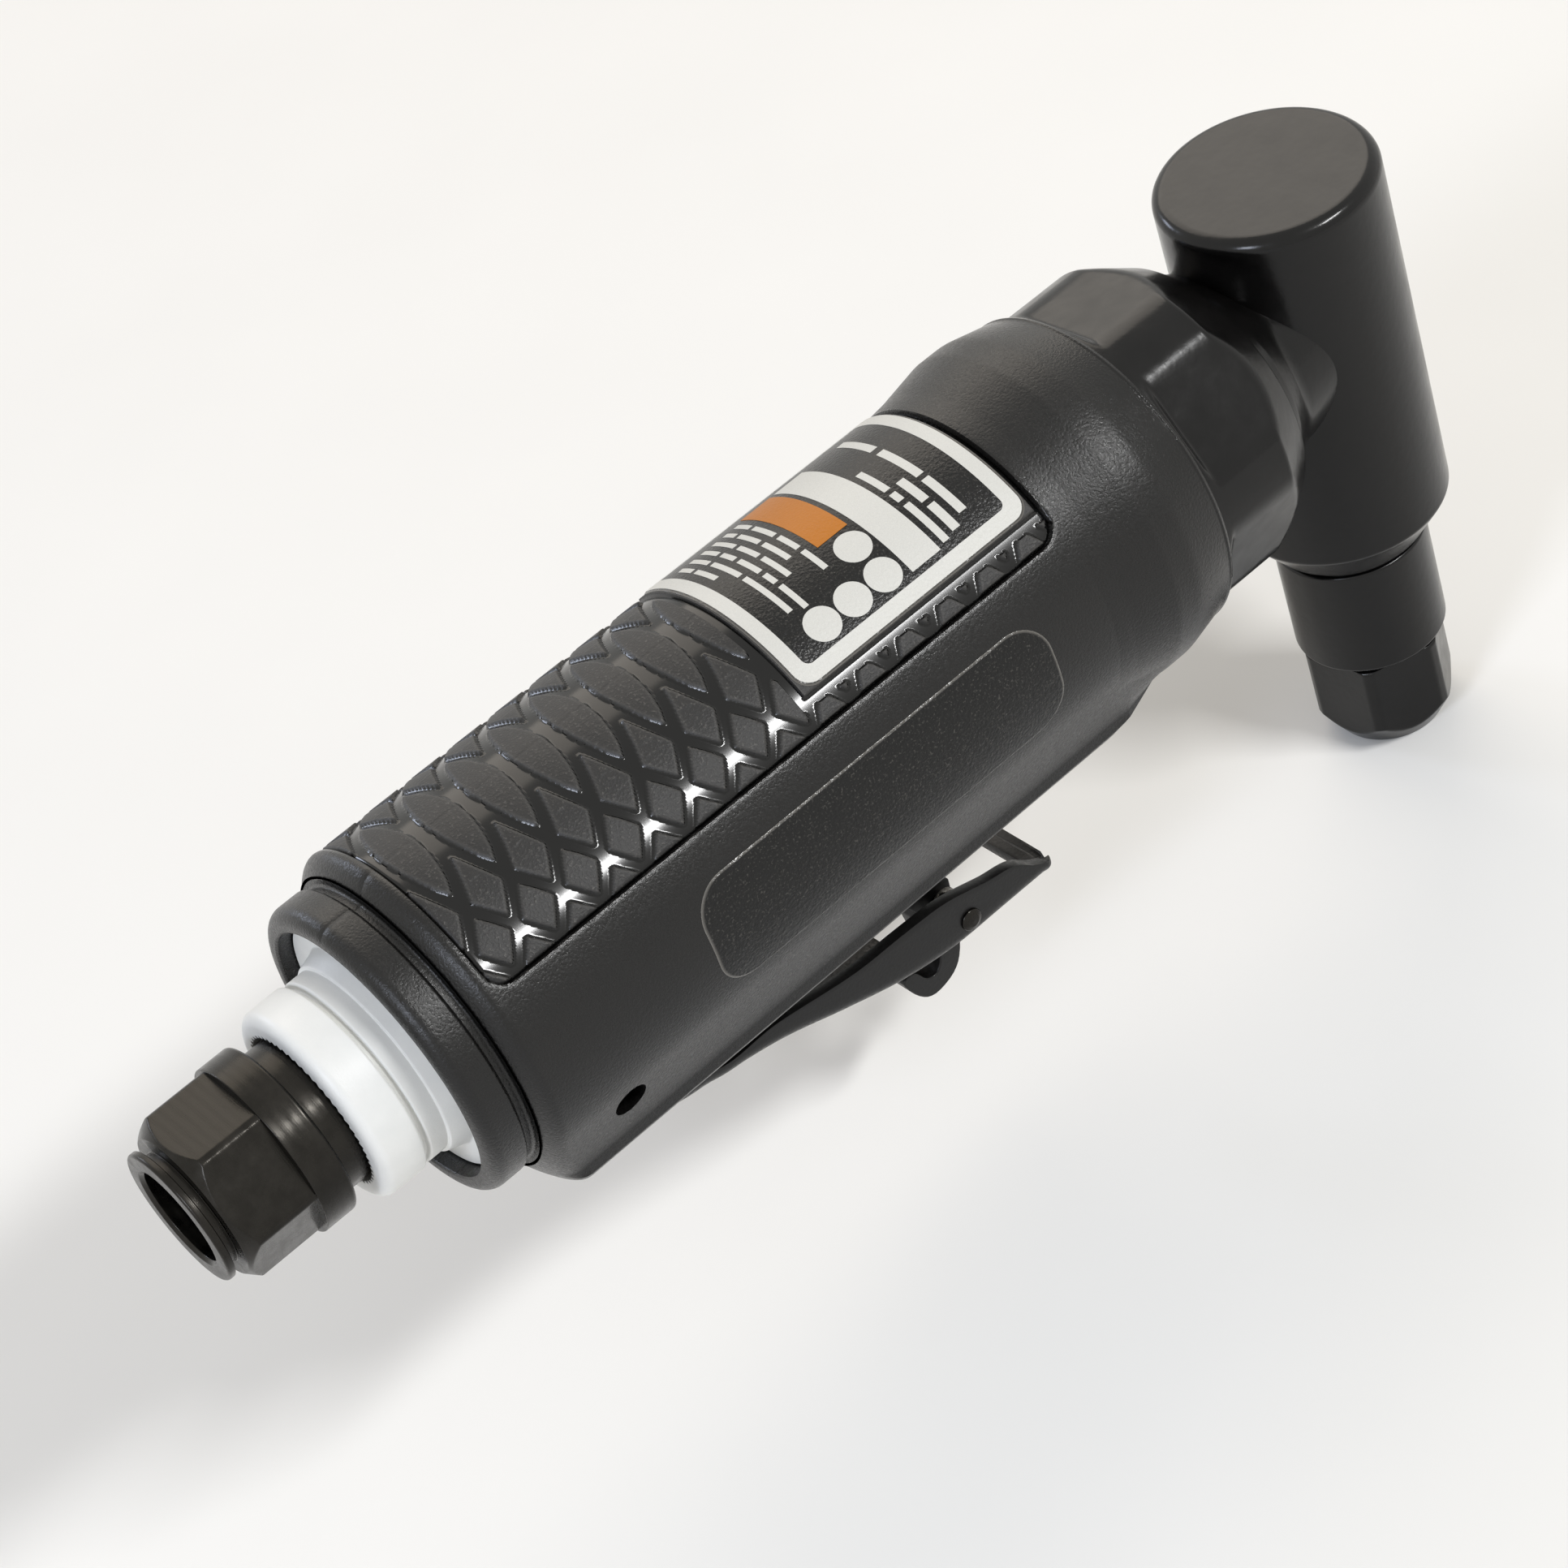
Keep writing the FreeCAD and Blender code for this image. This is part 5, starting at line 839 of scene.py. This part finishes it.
# Rivet that the lock turns on: a pin with a domed head outside each wall of the channel
line = bend([(-8.6, 0), (-8.55, 0.8), (-8.3, 1.4, 0.25), (-7.95, 1.4, 0.1), (-7.95, 1.0),
             (7.95, 1.0), (7.95, 1.4, 0.1), (8.3, 1.4, 0.25), (8.55, 0.8), (8.6, 0)])
t = np.linspace(0, 2 * np.pi, 40, endpoint=False)[None]
rivet = np.stack([lock_x + line[:, 1:] * np.cos(t), line[:, :1] + 0 * t,
                  lock_z + line[:, 1:] * np.sin(t)], -1)
rivet = skin("lock_rivet", rivet, blackened, poles=(True, True))
fit(rivet, "lever", "blackened_steel", "lock_pin")

# Working parts inside: they keep the frame's shapes. Bearings, shafts and gears are hardened
# steel, the cylinder is iron, the valve is brass and its seals are rubber.

# Each varies by small clouds. Columns: slot, finish, its dark and light tone, the clouds'
# scale and detail, metallic, roughness, IOR
finishes = {"bearing_steel": bright, "bright_steel": bright, "collet_steel": bright,
            "blackened_steel": blackened}
for slot, name, dark, light, scale, detail, metallic, roughness, ior in (
        ("iron", "machined_cast_iron", "#55534f", "#7b7873", 1.2, 5.0, 1.0, 0.45, 1.5),
        ("brass", "turned_brass", "#a5843c", "#cba856", 1.0, 4.0, 1.0, 0.3, 1.5),
        ("aluminium", "machined_aluminium", "#a9aaab", "#c9cacb", 1.5, 4.0, 1.0, 0.35, 1.5),
        ("seal_rubber", "moulded_nitrile_rubber", "#101010", "#1f1e1d", 2.0, 3.0, 0, 0.6, 1.52),
        ("blade_laminate", "cotton_phenolic_laminate", "#6b4526", "#93673c", 3, 5, 0, 0.55, 1.5)):
    finishes[slot], tree, shader, place = new_material(name, Metallic=metallic,
                                                       Roughness=roughness, IOR=ior)
    mottle(shader, place, scale, detail, dark, light)
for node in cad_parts.values():
    for held in node.material_slots:
        slot = held.material.name.split(".")[0] if held.material else ""
        held.material = finishes.get(slot, held.material)

# Floor: a pale plain board that keeps the soft shadow. Far from the tool it turns to plain
# white for the camera and for reflections, so no horizon shows.


def seen_by(tree, *rays):
    """1 for the rays that are named, 0 for the others."""
    path = add(tree, "LightPath")
    seen = path.outputs[rays[0]]
    for ray in rays[1:]:
        seen = add(tree, "Math", {0: seen, 1: path.outputs[ray]}, operation="MAXIMUM")
    return seen


pale, tree, shader, place = new_material("pale_matt_board", Base_Color=linear("#f4f3f0"),
                                         Roughness=0.9)
mottle(shader, place, 0.02, 3.0, "#f1f0ed", "#f6f5f2")
away = add(tree, "VectorMath", {0: place}, operation="LENGTH")
far = add(tree, "MapRange", {"Value": away, "From Min": 550.0, "From Max": 1500.0},
          interpolation_type="SMOOTHSTEP")
share = add(tree, "Math", {0: seen_by(tree, "Is Camera Ray", "Is Glossy Ray"), 1: far},
            operation="MULTIPLY")
glow = add(tree, "Emission", {"Color": linear("#fdfcf8"), "Strength": 1.0})
both = add(tree, "MixShader", {0: share, 1: shader, 2: glow})
wire(tree.nodes["Material Output"], {"Surface": both})
corners = np.array([(-1, -1, 0), (1, -1, 0), (1, 1, 0), (-1, 1, 0)]) * 6000
floor = solid("floor", corners - [0, 0, handle_height], [(0, 1, 2, 3)], pale)

# Studio: white surroundings for the eye and for reflections, dimmer ones for the light, and
# four soft boxes: a large warm one behind, a narrow strip in front for the head's rim, a
# small cool one at the inlet's side and a cool one low behind.


def lamp(name, place, width, height, power, tint="#ffffff"):
    """Rectangular lamp at a place in metres, turned to face the tool's middle."""
    made = bpy.data.lights.new(name, "AREA")
    made.shape, made.size, made.size_y, made.energy = "RECTANGLE", width, height, power
    made.color = linear(tint)[:3]
    held = bpy.data.objects.new(name, made)
    bpy.context.scene.collection.objects.link(held)
    away = np.array(place) - [-0.06, 0, 0.05]
    back = away / np.linalg.norm(away)
    right = np.cross([0, 0, 1], back)
    right /= np.linalg.norm(right)
    turn = np.eye(4)
    turn[:3] = np.stack([right, np.cross(back, right), back, place], 1)
    held.matrix_world = Matrix(turn.tolist())


lamp("back_box", (0.32, 0.74, 0.79), 0.9, 0.7, 3.7, "#fff4e6")
lamp("strip", (0.27, -0.64, 0.78), 0.32, 0.07, 5.6)
lamp("left_box", (-0.85, -0.30, 0.55), 0.22, 0.22, 3.2, "#e6eeff")
lamp("rim", (-0.36, 0.95, 0.42), 0.25, 0.20, 1.5, "#dfe9ff")
world = bpy.data.worlds.new("studio")
bpy.context.scene.world = world
world.use_nodes = True
tree = world.node_tree
seen = seen_by(tree, "Is Camera Ray", "Is Glossy Ray", "Is Transmission Ray")
level = add(tree, "MapRange", {"Value": seen, "To Min": 0.39, "To Max": 1.0})
wire(tree.nodes["Background"], {"Color": linear("#fdfcf8"), "Strength": level})

# Camera at the photograph's viewing angle, fitted to the tool's own turned edges: the rows
# of look are its right, down and forward directions, and focal is in pixels of the picture.
image_size, focal, sensor = 1932, 5096.804, 36.0
view = bpy.data.cameras.new("camera")
view.sensor_width, view.lens = sensor, focal / image_size * sensor
view.clip_start, view.clip_end = 0.01, 50
camera = bpy.data.objects.new("camera", view)
bpy.context.scene.collection.objects.link(camera)
look = np.array([[0.7263703412, -0.6333123329, -0.2670236253],
                 [-0.5946220627, -0.3842141394, -0.7062606443],
                 [0.3446893238, 0.671784924, -0.6556632412]])
stand = np.eye(4)
stand[:3, 0], stand[:3, 1], stand[:3, 2] = look[0], -look[1], -look[2]
stand[:3, 3] = np.array([-238.5223, -302.3381, 288.3779 + handle_height]) / 1000
camera.matrix_world = Matrix(stand.tolist())
bpy.context.scene.camera = camera
bpy.context.scene.view_settings.view_transform = "Standard"
